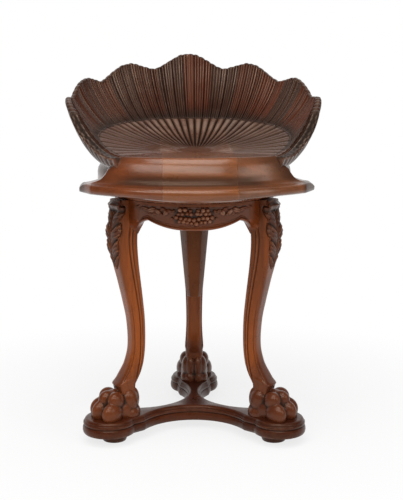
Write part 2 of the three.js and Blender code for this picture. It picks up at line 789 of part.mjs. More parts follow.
// A rod with a right-hand thread. Growing it makes the shape that cuts a nut.
function threadedRod(bottom, top, radialGrowth, sideGrowth) {
  const root = screwRadius - threadDepth + radialGrowth;
  const crest = screwRadius + radialGrowth;
  const rootHalf = threadRootWidth / 2 + sideGrowth;
  const crestHalf = threadCrestWidth / 2 + sideGrowth;
  const profile = [[root, -rootHalf], [crest, -crestHalf], [crest, crestHalf], [root, rootHalf]];
  const rowsPerTurn = profile.length;
  const firstTurn = Math.floor(bottom / threadPitch) - 2;
  const lastTurn = Math.ceil(top / threadPitch) + 1;
  const rowCount = (lastTurn - firstTurn) * rowsPerTurn;
  const vertices = [];
  const addVertex = (radius, angle, height) => {
    vertices.push(...polar(radius, angle, height).toArray());
    return vertices.length / 3 - 1;
  };
  const columns = [];
  for (let step = 0; step < threadStepCount; step += 1) {
    const angle = (360 * step) / threadStepCount;
    const lift = (threadPitch * step) / threadStepCount;
    columns.push(Array.from({ length: rowCount }, (unused, row) => {
      const [radius, height] = profile[row % rowsPerTurn];
      const turn = firstTurn + Math.floor(row / rowsPerTurn);
      return addVertex(radius, angle, turn * threadPitch + height + lift);
    }));
  }
  // After one whole turn the rows meet the first column's rows of the next turn.
  const next = (step, row) => (step + 1 < threadStepCount
    ? columns[step + 1][row] : columns[0][row + rowsPerTurn]);
  const lowHub = addVertex(0, 0, (firstTurn - 1) * threadPitch);
  const highHub = addVertex(0, 0, (lastTurn + 1) * threadPitch);
  const faces = [];
  for (let step = 0; step < threadStepCount; step += 1) {
    const seam = step + 1 === threadStepCount;
    const rows = seam ? rowCount - rowsPerTurn : rowCount;
    for (let row = 0; row + 1 < rows; row += 1) {
      const a = columns[step][row];
      const b = columns[step][row + 1];
      faces.push(a, next(step, row), next(step, row + 1), a, next(step, row + 1), b);
    }
    faces.push(columns[step][0], lowHub, next(step, 0));
    faces.push(columns[step][rows - 1], next(step, rows - 1), highHub);
  }
  for (let row = 0; row < rowsPerTurn; row += 1) {
    faces.push(columns[0][row], columns[0][row + 1], lowHub);
    const end = rowCount - 1 - row;
    faces.push(columns[threadStepCount - 1][end - 1], highHub, columns[threadStepCount - 1][end]);
  }
  return solidFrom(vertices, closeWinding(faces)).intersect(
    rod(2 * screwRadius, bottom, top, threadStepCount),
  );
}

function makeScrewNut() {
  const low = nutBottom;
  const flangeBottom = boardTop - nutFlangeThickness;
  let body = turned([
    [0, low], [nutRadius, low], [nutRadius, flangeBottom], [nutFlangeRadius, flangeBottom],
    [nutFlangeRadius, boardTop], [0, boardTop],
  ], roundSteps);
  const runOut = 2 * threadPitch;
  body = body.subtract(threadedRod(
    low - runOut, boardTop + runOut, threadRadialClearance, threadSideClearance,
  ));
  const hole = screwHole(
    nutScrewRadius, nutScrewHeadRadius, nutScrewHeadHeight, nutScrewLength, boardTop,
  );
  for (const place of nutScrewPlaces) body = body.subtract(moved(hole, place));
  return body;
}

function makeSeatScrew() {
  const collarBottom = seatBottom - jointGap - collarThickness;
  const thread = threadedRod(screwEnd, collarBottom + collarThickness / 2, 0, 0);
  const collar = rod(collarRadius, collarBottom, seatBottom - jointGap, holeSteps);
  const spigot = rod(screwSpigotRadius, collarBottom, seatBottom + plateThickness, holeSteps);
  const boltHole = rod(
    stopBoltRadius + jointGap, screwEnd - cutOverrun, screwEnd + stopBoltLength + jointGap, screwSteps,
  );
  return Manifold.union([thread, collar, spigot]).subtract(boltHole);
}

function makeStopWasher() {
  const washer = rod(stopWasherRadius, stopWasherBottom, stopWasherTop, holeSteps);
  const hole = rod(
    stopBoltRadius + jointGap, stopWasherBottom - cutOverrun, stopWasherTop + cutOverrun, screwSteps,
  );
  return washer.subtract(hole);
}

function makeStopBolt() {
  const headTop = stopWasherBottom - jointGap;
  return turned([
    [0, headTop - stopBoltHeadHeight], [stopBoltHeadRadius, headTop - stopBoltHeadHeight],
    [stopBoltHeadRadius, headTop], [stopBoltRadius, headTop],
    [stopBoltRadius, screwEnd + stopBoltLength], [0, screwEnd + stopBoltLength],
  ], holeSteps);
}

const boardScrewPlaces = [...sideAngles, ...apronAngles].map((angle) => polar(boardScrewReach, angle));
const nutScrewPlaces = [];
for (let i = 0; i < nutScrewCount; i += 1) {
  nutScrewPlaces.push(polar(nutScrewReach, (i + 0.5) * (360 / nutScrewCount)));
}

function makeBoardScrew() {
  return woodScrew(
    boardScrewRadius, boardScrewHeadRadius, boardScrewHeadHeight, boardScrewLength, boardTop,
  );
}

function makeNutScrew() {
  return woodScrew(
    nutScrewRadius, nutScrewHeadRadius, nutScrewHeadHeight, nutScrewLength, boardTop,
  );
}

// Iron plate under the seat

function plateShape(growth, bottom, top) {
  const shapes = [rod(plateHubRadius + growth, bottom, top, roundSteps)];
  for (let i = 0; i < plateArmCount; i += 1) {
    const arm = block(
      point(0, -plateArmWidth / 2 - growth, bottom),
      point(plateArmLength + growth, plateArmWidth / 2 + growth, top),
    );
    shapes.push(spun(arm, (i + 0.5) * (360 / plateArmCount)));
  }
  return Manifold.union(shapes);
}

// The plate's screws point up, so they are the turned screw seen from below.
function plateScrewPlaces() {
  const places = [];
  const outer = plateArmLength - plateScrewInset;
  for (let i = 0; i < plateArmCount; i += 1) {
    for (const reach of [outer - plateScrewSpacing, outer]) {
      places.push(polar(reach, (i + 0.5) * (360 / plateArmCount)));
    }
  }
  return places;
}

const upsideDown = (body) => body.rotate([180, 0, 0]);

function plateScrewHoles() {
  const hole = upsideDown(screwHole(
    plateScrewRadius, plateScrewHeadRadius, plateScrewHeadHeight, plateScrewLength, -seatBottom,
  ));
  return Manifold.compose(plateScrewPlaces().map((place) => moved(hole, place)));
}

function makeSeatPlate() {
  const middle = rod(
    screwSpigotRadius + jointGap, seatBottom - cutOverrun, seatBottom + plateThickness + cutOverrun, holeSteps,
  );
  return plateShape(0, seatBottom, seatBottom + plateThickness).subtract(middle).subtract(plateScrewHoles());
}

function makePlateScrew() {
  return upsideDown(woodScrew(
    plateScrewRadius, plateScrewHeadRadius, plateScrewHeadHeight, plateScrewLength, -seatBottom,
  ));
}

// Seat. Directions round the shell are degrees from its back, seen from where the flutes meet.

// Degrees where the shell's lobes meet each other, from the back to the side.
const valleyAngles = [14.5, 40.3, 64.4, 87];
// Rim heights at those places and how far each lobe rises above them, as shares of the shell's height.
const valleyHeightShares = [0.829, 0.695, 0.537, 0.408];
const lobeRiseShares = [0.171, 0.121, 0.108, 0.063];
// The rim's inner edge and the foot of the wall, as shares of the shell's reach.
const rimReachShares = [
  [0, 1], [16.8, 0.994], [29.4, 0.978], [45.9, 0.95], [58.4, 0.918], [65.7, 0.892], [76.6, 0.846],
  [87, 0.77], [95.6, 0.712], [107.2, 0.652], [119.6, 0.62], [128.3, 0.614],
];
const footReachShares = [
  [0, 0.68], [30, 0.676], [56, 0.68], [75, 0.664], [87, 0.634], [95.6, 0.61], [107.2, 0.588],
  [119.6, 0.586], [128.3, 0.596],
];
// Where the shell's outside meets the slab, as shares of the same reach.
const bowlReachShares = [
  [0, 0.728], [45, 0.665], [77, 0.575], [90, 0.57], [100, 0.59], [112, 0.612], [128.3, 0.632],
];
// How high the foot of the wall stands, as shares of the hollow's rise.
const footRiseShares = [
  [0, 1], [25, 0.98], [56, 0.8], [81, 0.47], [100, 0.2], [120, 0.03], [128.3, 0],
];

function rimHeight(angle) {
  const away = Math.abs(angle);
  const lobe = valleyAngles.findIndex((end) => away <= end);
  if (lobe < 0) {
    const share = clamp((away - valleyAngles[3]) / (shellEndAngle - valleyAngles[3]), 0, 1);
    return hollowFront + shellHeight * valleyHeightShares[3] * (1 - share) ** 2;
  }
  const start = lobe === 0 ? -valleyAngles[0] : valleyAngles[lobe - 1];
  const startHeight = lobe === 0 ? valleyHeightShares[0] : valleyHeightShares[lobe - 1];
  const share = (away - start) / (valleyAngles[lobe] - start);
  const straight = lerp(startHeight, valleyHeightShares[lobe], share);
  const bump = lobeRiseShares[lobe] * Math.sin(Math.PI * share) ** curveExponent;
  return hollowFront + shellHeight * (straight + bump);
}

// A point of the shell at a direction, a distance from where the flutes meet, and a height.
function shellPoint(angle, reach, height) {
  return point(-reach * Math.sin(radians(angle)), reach * Math.cos(radians(angle)) - shellBack, height);
}

// The outside of the shell at a share of the way up from the slab to the rim.
function outsideAt(angle, share) {
  const away = Math.abs(angle);
  const rim = rimHeight(angle);
  const swell = smooth((away - rimSwellStart) / (rimSwellEnd - rimSwellStart));
  const thick = lerp(rimThickness, rimFrontThickness, swell);
  const rimReach = shellReach * readCurve(rimReachShares, away) + thick;
  const low = seatBottom + slabHeight;
  const foot = shellReach * readCurve(bowlReachShares, away);
  const curve = (1 - (1 - share) ** curveExponent) ** (1 / curveExponent);
  return shellPoint(angle, foot + (rimReach - foot) * curve, lerp(low, rim, share));
}

function footPoint(angle, lift) {
  const away = Math.abs(angle);
  const reach = shellReach * readCurve(footReachShares, away);
  return shellPoint(angle, reach, hollowFront + floorRise * readCurve(footRiseShares, away) + lift);
}

// The inside of the wall, with its flutes cut in.
function insideAt(angle, share, groove) {
  const away = Math.abs(angle);
  const footReach = shellReach * readCurve(footReachShares, away);
  const footHeight = hollowFront + floorRise * readCurve(footRiseShares, away);
  const rimReach = shellReach * readCurve(rimReachShares, away);
  const curve = (1 - (1 - share) ** insideExponent) ** (1 / insideExponent);
  const reach = lerp(footReach, rimReach, curve) + groove * fluteDepth;
  return shellPoint(angle, reach, lerp(footHeight, rimHeight(angle), share));
}

const insideShares = [0.3, 0.62, 1];
const outsideShares = [1, 0.84, 0.62, 0.42];
const insideExponent = 1.25; // how round the wall's inside is

// One slice across the wall, from the foot inside, over the rim and down the outside.
function wallRing(angle, groove, lift) {
  const reference = outsideAt(angle, wallFootShare);
  return [
    footPoint(angle, lift),
    ...insideShares.map((share) => insideAt(angle, share, groove)),
    ...outsideShares.map((share) => outsideAt(angle, share)),
    point(reference.x, reference.y, reference.z + lift),
  ];
}

// Directions from one flute to another, counted from the back, each with whether it is in a groove.
function fluteColumns(first, last) {
  const places = [first, last];
  for (let groove = Math.ceil(first - 0.5) + 0.5; groove <= last; groove += 1) {
    places.push(groove - grooveHalfShare, groove, groove + grooveHalfShare);
  }
  return [...new Set(places)]
    .filter((place) => place >= first && place <= last)
    .sort((a, b) => a - b)
    .map((place) => ({ angle: place * fluteAngle, groove: Math.abs(place % 1) === 0.5 ? 1 : 0 }));
}

// A length of the wall from one flute to another, short of both by half a gap.
function wallPiece(first, last, lift) {
  return loft(fluteColumns(first, last).map(({ angle, groove }, i, columns) => {
    const shift = (i === 0 ? staveGapAngle : 0) - (i === columns.length - 1 ? staveGapAngle : 0);
    return wallRing(angle + shift, groove, lift);
  }));
}

// Half of the gap between two staves, as degrees at the foot of the wall.
const staveGapAngle = THREE.MathUtils.radToDeg(jointGap / 2 / (shellReach * footReachShares[0][1]));

// The flutes that each stave runs between. The planks' own lips go on from the last.
const staveJoints = [3.5, 9.75, 13.75, 23.5];
const staves = [
  ['shell_stave_centre', -staveJoints[0], staveJoints[0]],
  ['shell_stave_left_back', staveJoints[0], staveJoints[1]],
  ['shell_stave_right_back', -staveJoints[1], -staveJoints[0]],
  ['shell_stave_left_side', staveJoints[1], staveJoints[2]],
  ['shell_stave_right_side', -staveJoints[2], -staveJoints[1]],
  ['shell_stave_left_front', staveJoints[2], staveJoints[3]],
  ['shell_stave_right_front', -staveJoints[3], -staveJoints[2]],
];

function makeStave([, first, last]) {
  return wallPiece(first, last, jointGap);
}

// The round slab that the shell stands on.
function seatSlab() {
  const top = seatBottom + slabHeight;
  return turned([
    [0, seatBottom], [slabRadius - slabRound, seatBottom],
    [slabRadius - slabRound * 0.2, seatBottom + slabRound * 0.8],
    [slabRadius, seatBottom + slabHeight / 2], [slabRadius - slabRound * 0.2, top - slabRound * 0.8],
    [slabRadius - slabRound, top], [0, top],
  ], slabSteps);
}

// Height of the rail's moulding above the seat's underside, by distance from its front edge.
const railProfileShares = [
  [0, 0.18], [0.03, 0.27], [0.09, 0.31], [0.2, 0.335], [0.42, 0.365], [0.54, 0.41], [0.62, 0.48],
  [0.67, 0.62], [0.72, 0.73], [0.84, 0.88], [1, 1],
];
// The same moulding where it runs out to the tip of an ear.
const earProfileShares = [
  [0, 0.2], [0.08, 0.28], [0.3, 0.355], [0.53, 0.45], [0.65, 0.585], [0.71, 0.69], [0.86, 0.8], [1, 1],
];
const railStationShares = [
  0, 0.14, 0.28, 0.4, 0.5, 0.58, 0.649, 0.68, 0.7, 0.735, 0.76, 0.81, 0.87, 0.9, 0.945, 1,
];

function railBowAt(x) {
  return railBow - Math.sqrt(railBow ** 2 - x ** 2);
}

function railRing(x) {
  const away = Math.abs(x);
  const chamferStart = railHalfWidth - earChamfer;
  const front = -railReach + railBowAt(x) + Math.max(0, away - chamferStart);
  const belly = railBelly * smooth((away - railHalfWidth * 0.1) / (railHalfWidth * 0.6));
  const ear = railHeight * readCurve(earProfileShares, (railHalfWidth - away) / railEndWidth);
  const ring = [];
  const undercut = railDepth * 0.26;
  const low = seatBottom + belly;
  const nose = seatBottom + railHeight * railProfileShares[0][1];
  const back = -railReach + railBowAt(x) + railBackDepth;
  ring.push(point(x, back, low));
  ring.push(point(x, front + undercut, low));
  ring.push(point(x, front + undercut * 0.3, lerp(low, nose, 0.35)));
  for (const [share, height] of railProfileShares) {
    const z = seatBottom + Math.min(railHeight * height, ear);
    ring.push(point(x, front + share * railDepth, z));
  }
  ring.push(point(x, back, seatBottom + Math.min(railHeight, ear)));
  return ring;
}

function seatRail() {
  const places = railStationShares.map((share) => share * railHalfWidth);
  const all = [...places.slice(1).map((x) => -x).reverse(), ...places];
  return loft(all.map(railRing));
}

// The hollow's floor and the part of the shell below the wall.
const floorRingShares = [0.2, 0.42, 0.62, 0.82, 1];

function floorAt(angle, share, edge, groove) {
  const rise = (edge.z - hollowFront) * share ** 1.9;
  const relief = groove * fluteDepth * smooth((share - 0.15) / 0.35);
  return point(edge.x * share, lerp(-shellBack, edge.y, share), hollowFront + rise - relief);
}

function frontReach(angle) {
  const centre = railBow - railReach + railDepth + shellBack;
  const along = centre * Math.cos(radians(angle));
  return along + Math.sqrt(along * along + railBow ** 2 - centre ** 2);
}

function shellFloor() {
  const directions = fluteColumns(-fluteCount, fluteCount);
  const frontColumns = 8;
  for (let i = 1; i < frontColumns; i += 1) {
    directions.push({ angle: lerp(shellEndAngle, 360 - shellEndAngle, i / frontColumns), groove: 0 });
  }
  const low = seatBottom + slabHeight / 2;
  const vertices = [];
  const faces = [];
  const columns = directions.length;
  const rings = [];
  for (const share of floorRingShares) {
    rings.push(directions.map(({ angle, groove }) => {
      const inShell = Math.abs(angle) <= shellEndAngle;
      const edge = inShell ? footPoint(angle, 0) : shellPoint(angle, frontReach(angle), hollowFront);
      return floorAt(angle, share, edge, share < 1 ? groove : 0);
    }));
  }
  const outsideRing = (share) => directions.map(({ angle }, i) => {
    const inShell = Math.abs(angle) <= shellEndAngle;
    if (inShell) return outsideAt(angle, share);
    const top = rings[rings.length - 1][i];
    return point(top.x, top.y, lerp(low, hollowFront, 0.3 + share));
  });
  rings.push(outsideRing(wallFootShare));
  rings.push(outsideRing(0));
  rings.push(rings[rings.length - 1].map((above) => point(above.x, above.y, low)));
  vertices.push(0, -shellBack, hollowFront);
  for (const ring of rings) for (const p of ring) vertices.push(p.x, p.y, p.z);
  vertices.push(0, -shellBack, low);
  const last = vertices.length / 3 - 1;
  for (let i = 0; i < columns; i += 1) {
    const next = (i + 1) % columns;
    faces.push(0, 1 + i, 1 + next);
    for (let r = 0; r + 1 < rings.length; r += 1) {
      const a = 1 + r * columns;
      const b = a + columns;
      faces.push(a + i, b + i, a + next, b + i, b + next, a + next);
    }
    const rim = 1 + (rings.length - 1) * columns;
    faces.push(last, rim + next, rim + i);
  }
  return solidFrom(vertices, faces);
}

function makeSeatBody() {
  const lipSink = -jointGap;
  const lips = [
    wallPiece(-fluteCount, -staveJoints[3], lipSink), wallPiece(staveJoints[3], fluteCount, lipSink),
  ];
  const whole = filled(Manifold.union([seatSlab(), seatRail(), shellFloor(), ...lips]));
  const recess = plateShape(jointGap, seatBottom - cutOverrun, seatBottom + plateThickness + jointGap);
  return whole.subtract(recess).subtract(plateScrewHoles());
}

// The seat's wood is one carved shape, glued up from three planks side by side.
function makeSeatPlanks() {
  const whole = makeSeatBody();
  const far = 2 * railReach;
  const slice = (low, high) => whole.intersect(block(
    point(low, -far, 0), point(high, far, 2 * seatBottom),
  ));
  return [
    ['seat_plank_centre', slice(-plankHalfWidth + jointGap / 2, plankHalfWidth - jointGap / 2)],
    ['seat_plank_left', slice(-far, -plankHalfWidth - jointGap / 2)],
    ['seat_plank_right', slice(plankHalfWidth + jointGap / 2, far)],
  ];
}

// The whole stool

const stool = new THREE.Group();
const seat = new THREE.Group();
seat.rotation.z = radians(seatRestTurn);
stool.add(seat);

function addPiece(parent, name, geometry, material, turn = 0) {
  const mesh = new THREE.Mesh(geometry, material);
  mesh.name = name;
  mesh.rotation.z = radians(turn);
  parent.add(mesh);
  return mesh;
}

// The same piece once at each of some places.
function addCopies(parent, name, body, material, places) {
  const geometry = geometryOf(body);
  places.forEach((place, i) => {
    addPiece(parent, `${name}_${i + 1}`, geometry, material).position.copy(place);
  });
}

addPiece(stool, 'platform', geometryOf(makePlatform()), baseWood);
const bunFoot = geometryOf(moved(makeBunFoot(), point(bunReach, 0, 0)));
const legDowel = geometryOf(moved(makeLegDowel(), point(pawReach, 0, 0)));
const leg = geometryOf(makeLeg());
const apron = geometryOf(makeApron());
sideAngles.forEach((angle, i) => {
  addPiece(stool, `bun_foot_${sideNames[i]}`, bunFoot, baseWood, angle);
  addPiece(stool, `leg_dowel_${sideNames[i]}`, legDowel, hiddenWood, angle);
  addPiece(stool, `leg_${sideNames[i]}`, leg, legWood, angle);
  addPiece(stool, `apron_${apronNames[i]}`, apron, apronWood, apronAngles[i]);
});
addPiece(stool, 'top_board', geometryOf(makeTopBoard()), apronWood);
addCopies(stool, 'top_board_screw', makeBoardScrew(), steel, boardScrewPlaces);
addPiece(stool, 'screw_housing', geometryOf(makeHousing()), baseWood);
addPiece(stool, 'screw_nut', geometryOf(makeScrewNut()), iron);
addCopies(stool, 'nut_screw', makeNutScrew(), steel, nutScrewPlaces);
addPiece(stool, 'stop_washer', geometryOf(makeStopWasher()), steel);

for (const [name, body] of makeSeatPlanks()) addPiece(seat, name, geometryOf(body), seatWood);
for (const stave of staves) addPiece(seat, stave[0], geometryOf(makeStave(stave)), shellWood);
addPiece(seat, 'seat_plate', geometryOf(makeSeatPlate()), iron);
addCopies(seat, 'plate_screw', makePlateScrew(), steel, plateScrewPlaces());
addPiece(seat, 'seat_screw', geometryOf(makeSeatScrew()), steel);
addPiece(seat, 'stop_bolt', geometryOf(makeStopBolt()), steel);

export default stool;
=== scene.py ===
import math

import bpy
import numpy as np
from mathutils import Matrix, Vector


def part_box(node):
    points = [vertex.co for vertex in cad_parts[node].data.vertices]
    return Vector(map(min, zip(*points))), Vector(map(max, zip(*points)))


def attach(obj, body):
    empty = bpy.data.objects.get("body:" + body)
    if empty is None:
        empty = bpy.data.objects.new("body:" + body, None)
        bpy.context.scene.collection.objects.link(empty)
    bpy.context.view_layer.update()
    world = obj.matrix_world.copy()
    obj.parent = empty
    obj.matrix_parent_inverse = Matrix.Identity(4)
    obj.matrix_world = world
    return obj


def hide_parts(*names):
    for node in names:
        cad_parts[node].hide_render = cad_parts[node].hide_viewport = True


# Revolving piano stool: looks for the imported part. Sizes below are in millimetres, those of the floor,
# the lamps and the camera in metres.

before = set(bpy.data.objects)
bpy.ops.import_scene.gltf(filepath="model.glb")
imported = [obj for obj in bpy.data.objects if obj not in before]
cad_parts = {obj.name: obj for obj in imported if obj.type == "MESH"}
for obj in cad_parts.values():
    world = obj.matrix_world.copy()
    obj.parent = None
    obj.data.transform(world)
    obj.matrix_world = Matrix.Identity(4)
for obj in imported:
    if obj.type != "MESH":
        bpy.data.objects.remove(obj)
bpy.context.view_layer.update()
print("frame loaded")

mm = 0.001
weldGap = 0.002 * mm
legAngles = {"front_left": 210, "front_right": 330, "back": 90}
apronAngles = {"front": 270, "right": 30, "left": 150}


# Curves and masks

def smoothStep(value):
    value = np.clip(value, 0, 1)
    return value * value * (3 - 2 * value)


def ramp(value, start, span):
    # eases from 0 at the start to 1 at start + span; a negative span runs downwards
    return smoothStep((value - start) / span)


def bump(distance, width):
    # 1 at no distance, and fading away over the width
    return np.exp(-(distance / width) ** 2)


def scatter(value, rate=12.9898):
    # an uneven value from 0 to 1 for each whole number
    return (np.sin(value * rate) * 43758.5453) % 1


def stepAt(share, count):
    return np.rint(share * count).astype(int)


def toward(degrees):
    turn = math.radians(degrees)
    return np.array([math.cos(turn), math.sin(turn)])


def bandShares(row, counts):
    # how far each row is through every band of rows, from 0 to 1
    starts = np.cumsum([0, *counts.values()])
    return [np.clip((row - start) / count, 0, 1) for start, count in zip(starts, counts.values())]


def pickBand(row, counts, *values):
    # the value of the band that each row lies in
    ends = np.cumsum(list(counts.values()))[:-1]
    return np.select([row <= end for end in ends], values[:-1], values[-1])


def readCurve(table, place):
    # an even curve through [place, value] pairs
    rows = np.array(table, float)
    xs, ys = rows[:, 0], rows[:, 1]
    slopes = np.empty(len(xs))
    slopes[1:-1] = (ys[2:] - ys[:-2]) / (xs[2:] - xs[:-2])
    slopes[0] = (ys[1] - ys[0]) / (xs[1] - xs[0])
    slopes[-1] = (ys[-1] - ys[-2]) / (xs[-1] - xs[-2])
    place = np.clip(place, xs[0], xs[-1])
    i = np.clip(np.searchsorted(xs, place, side="right") - 1, 0, len(xs) - 2)
    span = xs[i + 1] - xs[i]
    t = (place - xs[i]) / span
    return (
        (2 * t**3 - 3 * t**2 + 1) * ys[i]
        + (t**3 - 2 * t**2 + t) * span * slopes[i]
        + (3 * t**2 - 2 * t**3) * ys[i + 1]
        + (t**3 - t**2) * span * slopes[i + 1]
    )


def roundPoints(turn, radius, height):
    return np.column_stack([radius * np.cos(turn), radius * np.sin(turn), height])


# Pieces

def selectOnly(*pieces):
    bpy.ops.object.select_all(action="DESELECT")
    for piece in pieces:
        piece.select_set(True)
    bpy.context.view_layer.objects.active = pieces[0]


def addShape(add, **settings):
    bpy.ops.object.select_all(action="DESELECT")
    add(**settings)
    return bpy.context.object


def readPoints(piece, field="co"):
    points = np.empty(3 * len(piece.data.vertices))
    piece.data.vertices.foreach_get(field, points)
    return points.reshape(-1, 3)


def saveMask(piece, name, values):
    earlier = piece.data.attributes.get(name)
    if earlier:
        piece.data.attributes.remove(earlier)
    mask = piece.data.attributes.new(name, "FLOAT", "POINT")
    values = np.broadcast_to(np.clip(values, 0, 1), len(piece.data.vertices))
    mask.data.foreach_set("value", values.astype(np.float32))


def gridPiece(name, columns, rows, placeAt, capped=False):
    # a grid bent into shape: placeAt turns u and v, from 0 to 1, into points and masks
    piece = addShape(bpy.ops.mesh.primitive_grid_add, x_subdivisions=columns, y_subdivisions=rows, size=1)
    piece.name = name
    flat = readPoints(piece)
    places, masks = placeAt(flat[:, 0] + 0.5, flat[:, 1] + 0.5)
    piece.data.vertices.foreach_set("co", (places * mm).ravel())
    for mask, values in masks.items():
        saveMask(piece, mask, values)
    bpy.ops.object.mode_set(mode="EDIT")
    bpy.ops.mesh.select_all(action="SELECT")
    bpy.ops.mesh.remove_doubles(threshold=weldGap)
    if capped:
        bpy.ops.mesh.select_all(action="SELECT")
        bpy.ops.mesh.fill_holes(sides=0)
    bpy.ops.mesh.select_all(action="SELECT")
    bpy.ops.mesh.normals_make_consistent(inside=False)
    bpy.ops.mesh.select_all(action="DESELECT")
    bpy.ops.object.mode_set(mode="OBJECT")
    return piece


def turnedPiece(name, profile, steps):
    # a lathe-turned piece from [radius, height] pairs
    radii, heights = np.array(profile, float).T

    def placeAt(u, v):
        row = stepAt(v, len(profile) - 1)
        return roundPoints(2 * np.pi * u, radii[row], heights[row]), {}

    return gridPiece(name, steps, len(profile) - 1, placeAt)


def applyModifier(piece, kind, **settings):
    selectOnly(piece)
    bpy.ops.object.modifier_add(type=kind)
    modifier = piece.modifiers[-1]
    for key, value in settings.items():
        setattr(modifier, key, value)
    bpy.ops.object.modifier_apply(modifier=modifier.name)


def cutWith(piece, cutter, operation="DIFFERENCE", solver="EXACT"):
    applyModifier(piece, "BOOLEAN", object=cutter, operation=operation, solver=solver)
    bpy.data.objects.remove(cutter)


def joinPieces(piece, *others):
    selectOnly(piece, *others)
    bpy.ops.object.join()
    return piece


def turnPiece(piece, degrees=0):
    # turns the piece about its own origin, then brings that origin to the stool's
    selectOnly(piece)
    piece.rotation_euler.z = math.radians(degrees)
    bpy.ops.object.transform_apply(location=True, rotation=True, scale=True)
    return piece


def copyPiece(piece, name):
    selectOnly(piece)
    bpy.ops.object.duplicate(linked=False)
    copy = bpy.context.object
    copy.name = name
    return copy


def finishPiece(piece, body, nodes, material, angle=40):
    selectOnly(piece)
    bpy.ops.object.shade_smooth_by_angle(angle=math.radians(angle))
    piece.data.materials.clear()
    piece.data.materials.append(material)
    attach(piece, body)
    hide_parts(*nodes)


# Shader nodes

def feedInputs(tree, node, inputs):
    # an input takes another node's output, or a value
    for label, value in inputs.items():
        if isinstance(value, bpy.types.NodeSocket):
            tree.links.new(value, node.inputs[label])
        else:
            node.inputs[label].default_value = value


def addNode(tree, kind, inputs=None, **settings):
    node = tree.nodes.new(kind)
    for key, value in settings.items():
        setattr(node, key, value)
    feedInputs(tree, node, inputs or {})
    return node


def mathNode(tree, operation, first, second, clamp=False):
    settings = {"operation": operation, "use_clamp": clamp}
    return addNode(tree, "ShaderNodeMath", {0: first, 1: second}, **settings).outputs[0]


def multiply(tree, first, second, clamp=False):
    return mathNode(tree, "MULTIPLY", first, second, clamp)


def larger(tree, first, second):
    return mathNode(tree, "MAXIMUM", first, second)


def rangeNode(tree, value, low, high, outLow=0.0, outHigh=1.0):
    inputs = {"Value": value, "From Min": low, "From Max": high, "To Min": outLow, "To Max": outHigh}
    return addNode(tree, "ShaderNodeMapRange", inputs).outputs["Result"]


def mixNode(tree, share, first, second):
    return addNode(tree, "ShaderNodeMix", {0: share, 6: first, 7: second}, data_type="RGBA").outputs[2]


def noiseNode(tree, vector, scale, detail, distortion=0.0, roughness=0.5):
    inputs = {"Vector": vector, "Scale": scale, "Detail": detail, "Distortion": distortion,
              "Roughness": roughness}
    return addNode(tree, "ShaderNodeTexNoise", inputs).outputs["Fac"]


def reliefNode(tree, height, strength, distance):
    inputs = {"Height": height, "Strength": strength, "Distance": distance}
    return addNode(tree, "ShaderNodeBump", inputs).outputs["Normal"]


def newGroup(name, inputs, outputs):
    # inputs are label: starting value, and outputs are labels; one that ends in Color is a colour
    group = bpy.data.node_groups.new(name, "ShaderNodeTree")
    for label, value in inputs.items():
        kind = "Vector" if label == "Vector" else "Color" if label.endswith("Color") else "Float"
        socket = group.interface.new_socket(name=label, in_out="INPUT", socket_type=f"NodeSocket{kind}")
        if value is not None:
            socket.default_value = value
    for label in outputs:
        kind = "Color" if label.endswith("Color") else "Float"
        group.interface.new_socket(name=label, in_out="OUTPUT", socket_type=f"NodeSocket{kind}")
    return group, group.nodes.new("NodeGroupInput").outputs, group.nodes.new("NodeGroupOutput")


# Wood

# scale, detail, distortion and roughness of the figure's noises
grainNoises = {
    "band": (14.0, 3.0, 0.8), "broad": (5.0, 2.0, 0.4), "streak": (90.0, 5.0, 0.3, 0.6),
    "pore": (420.0, 2.0),
}
wearNoises = {"patch": (38.0, 3.0), "fine": (210.0, 2.0)}
# the near-black that hollows turn, for dirt and for painted shade
finishLook = {"grimeAndShade": (0.008, 0.004, 0.003, 1), "glossTint": (1.0, 0.7, 0.48, 1), "reliefDepth": 0.0006}


def buildGrainGroup():
    # walnut figure: broad bands, fine streaks and short dark pores along the vector's Z
    group, inside, outside = newGroup(
        "walnutGrain",
        {"Vector": None, "Light Color": (0.3, 0.12, 0.05, 1), "Dark Color": (0.1, 0.04, 0.02, 1),
         "Contrast": 0.6},
        ["Color", "Streak", "Pore"],
    )
    noises = {name: noiseNode(group, inside["Vector"], *noise) for name, noise in grainNoises.items()}
    light, dark = inside["Light Color"], inside["Dark Color"]
    poreMask = rangeNode(group, noises["pore"], 0.6, 0.72)
    bands = multiply(group, rangeNode(group, noises["band"], 0.32, 0.68), 0.6)
    streaks = multiply(group, rangeNode(group, noises["streak"], 0.34, 0.66), 0.4)
    figure = mathNode(group, "ADD", bands, streaks)
    even = mixNode(group, multiply(group, figure, inside["Contrast"], clamp=True), light, dark)
    tone = mixNode(group, rangeNode(group, noises["broad"], 0.35, 0.65, 0.0, 0.45), even, dark)
    pored = mixNode(group, multiply(group, poreMask, 0.35), tone, dark)
    feedInputs(group, outside, {"Color": pored, "Streak": noises["streak"], "Pore": poreMask})
    return group


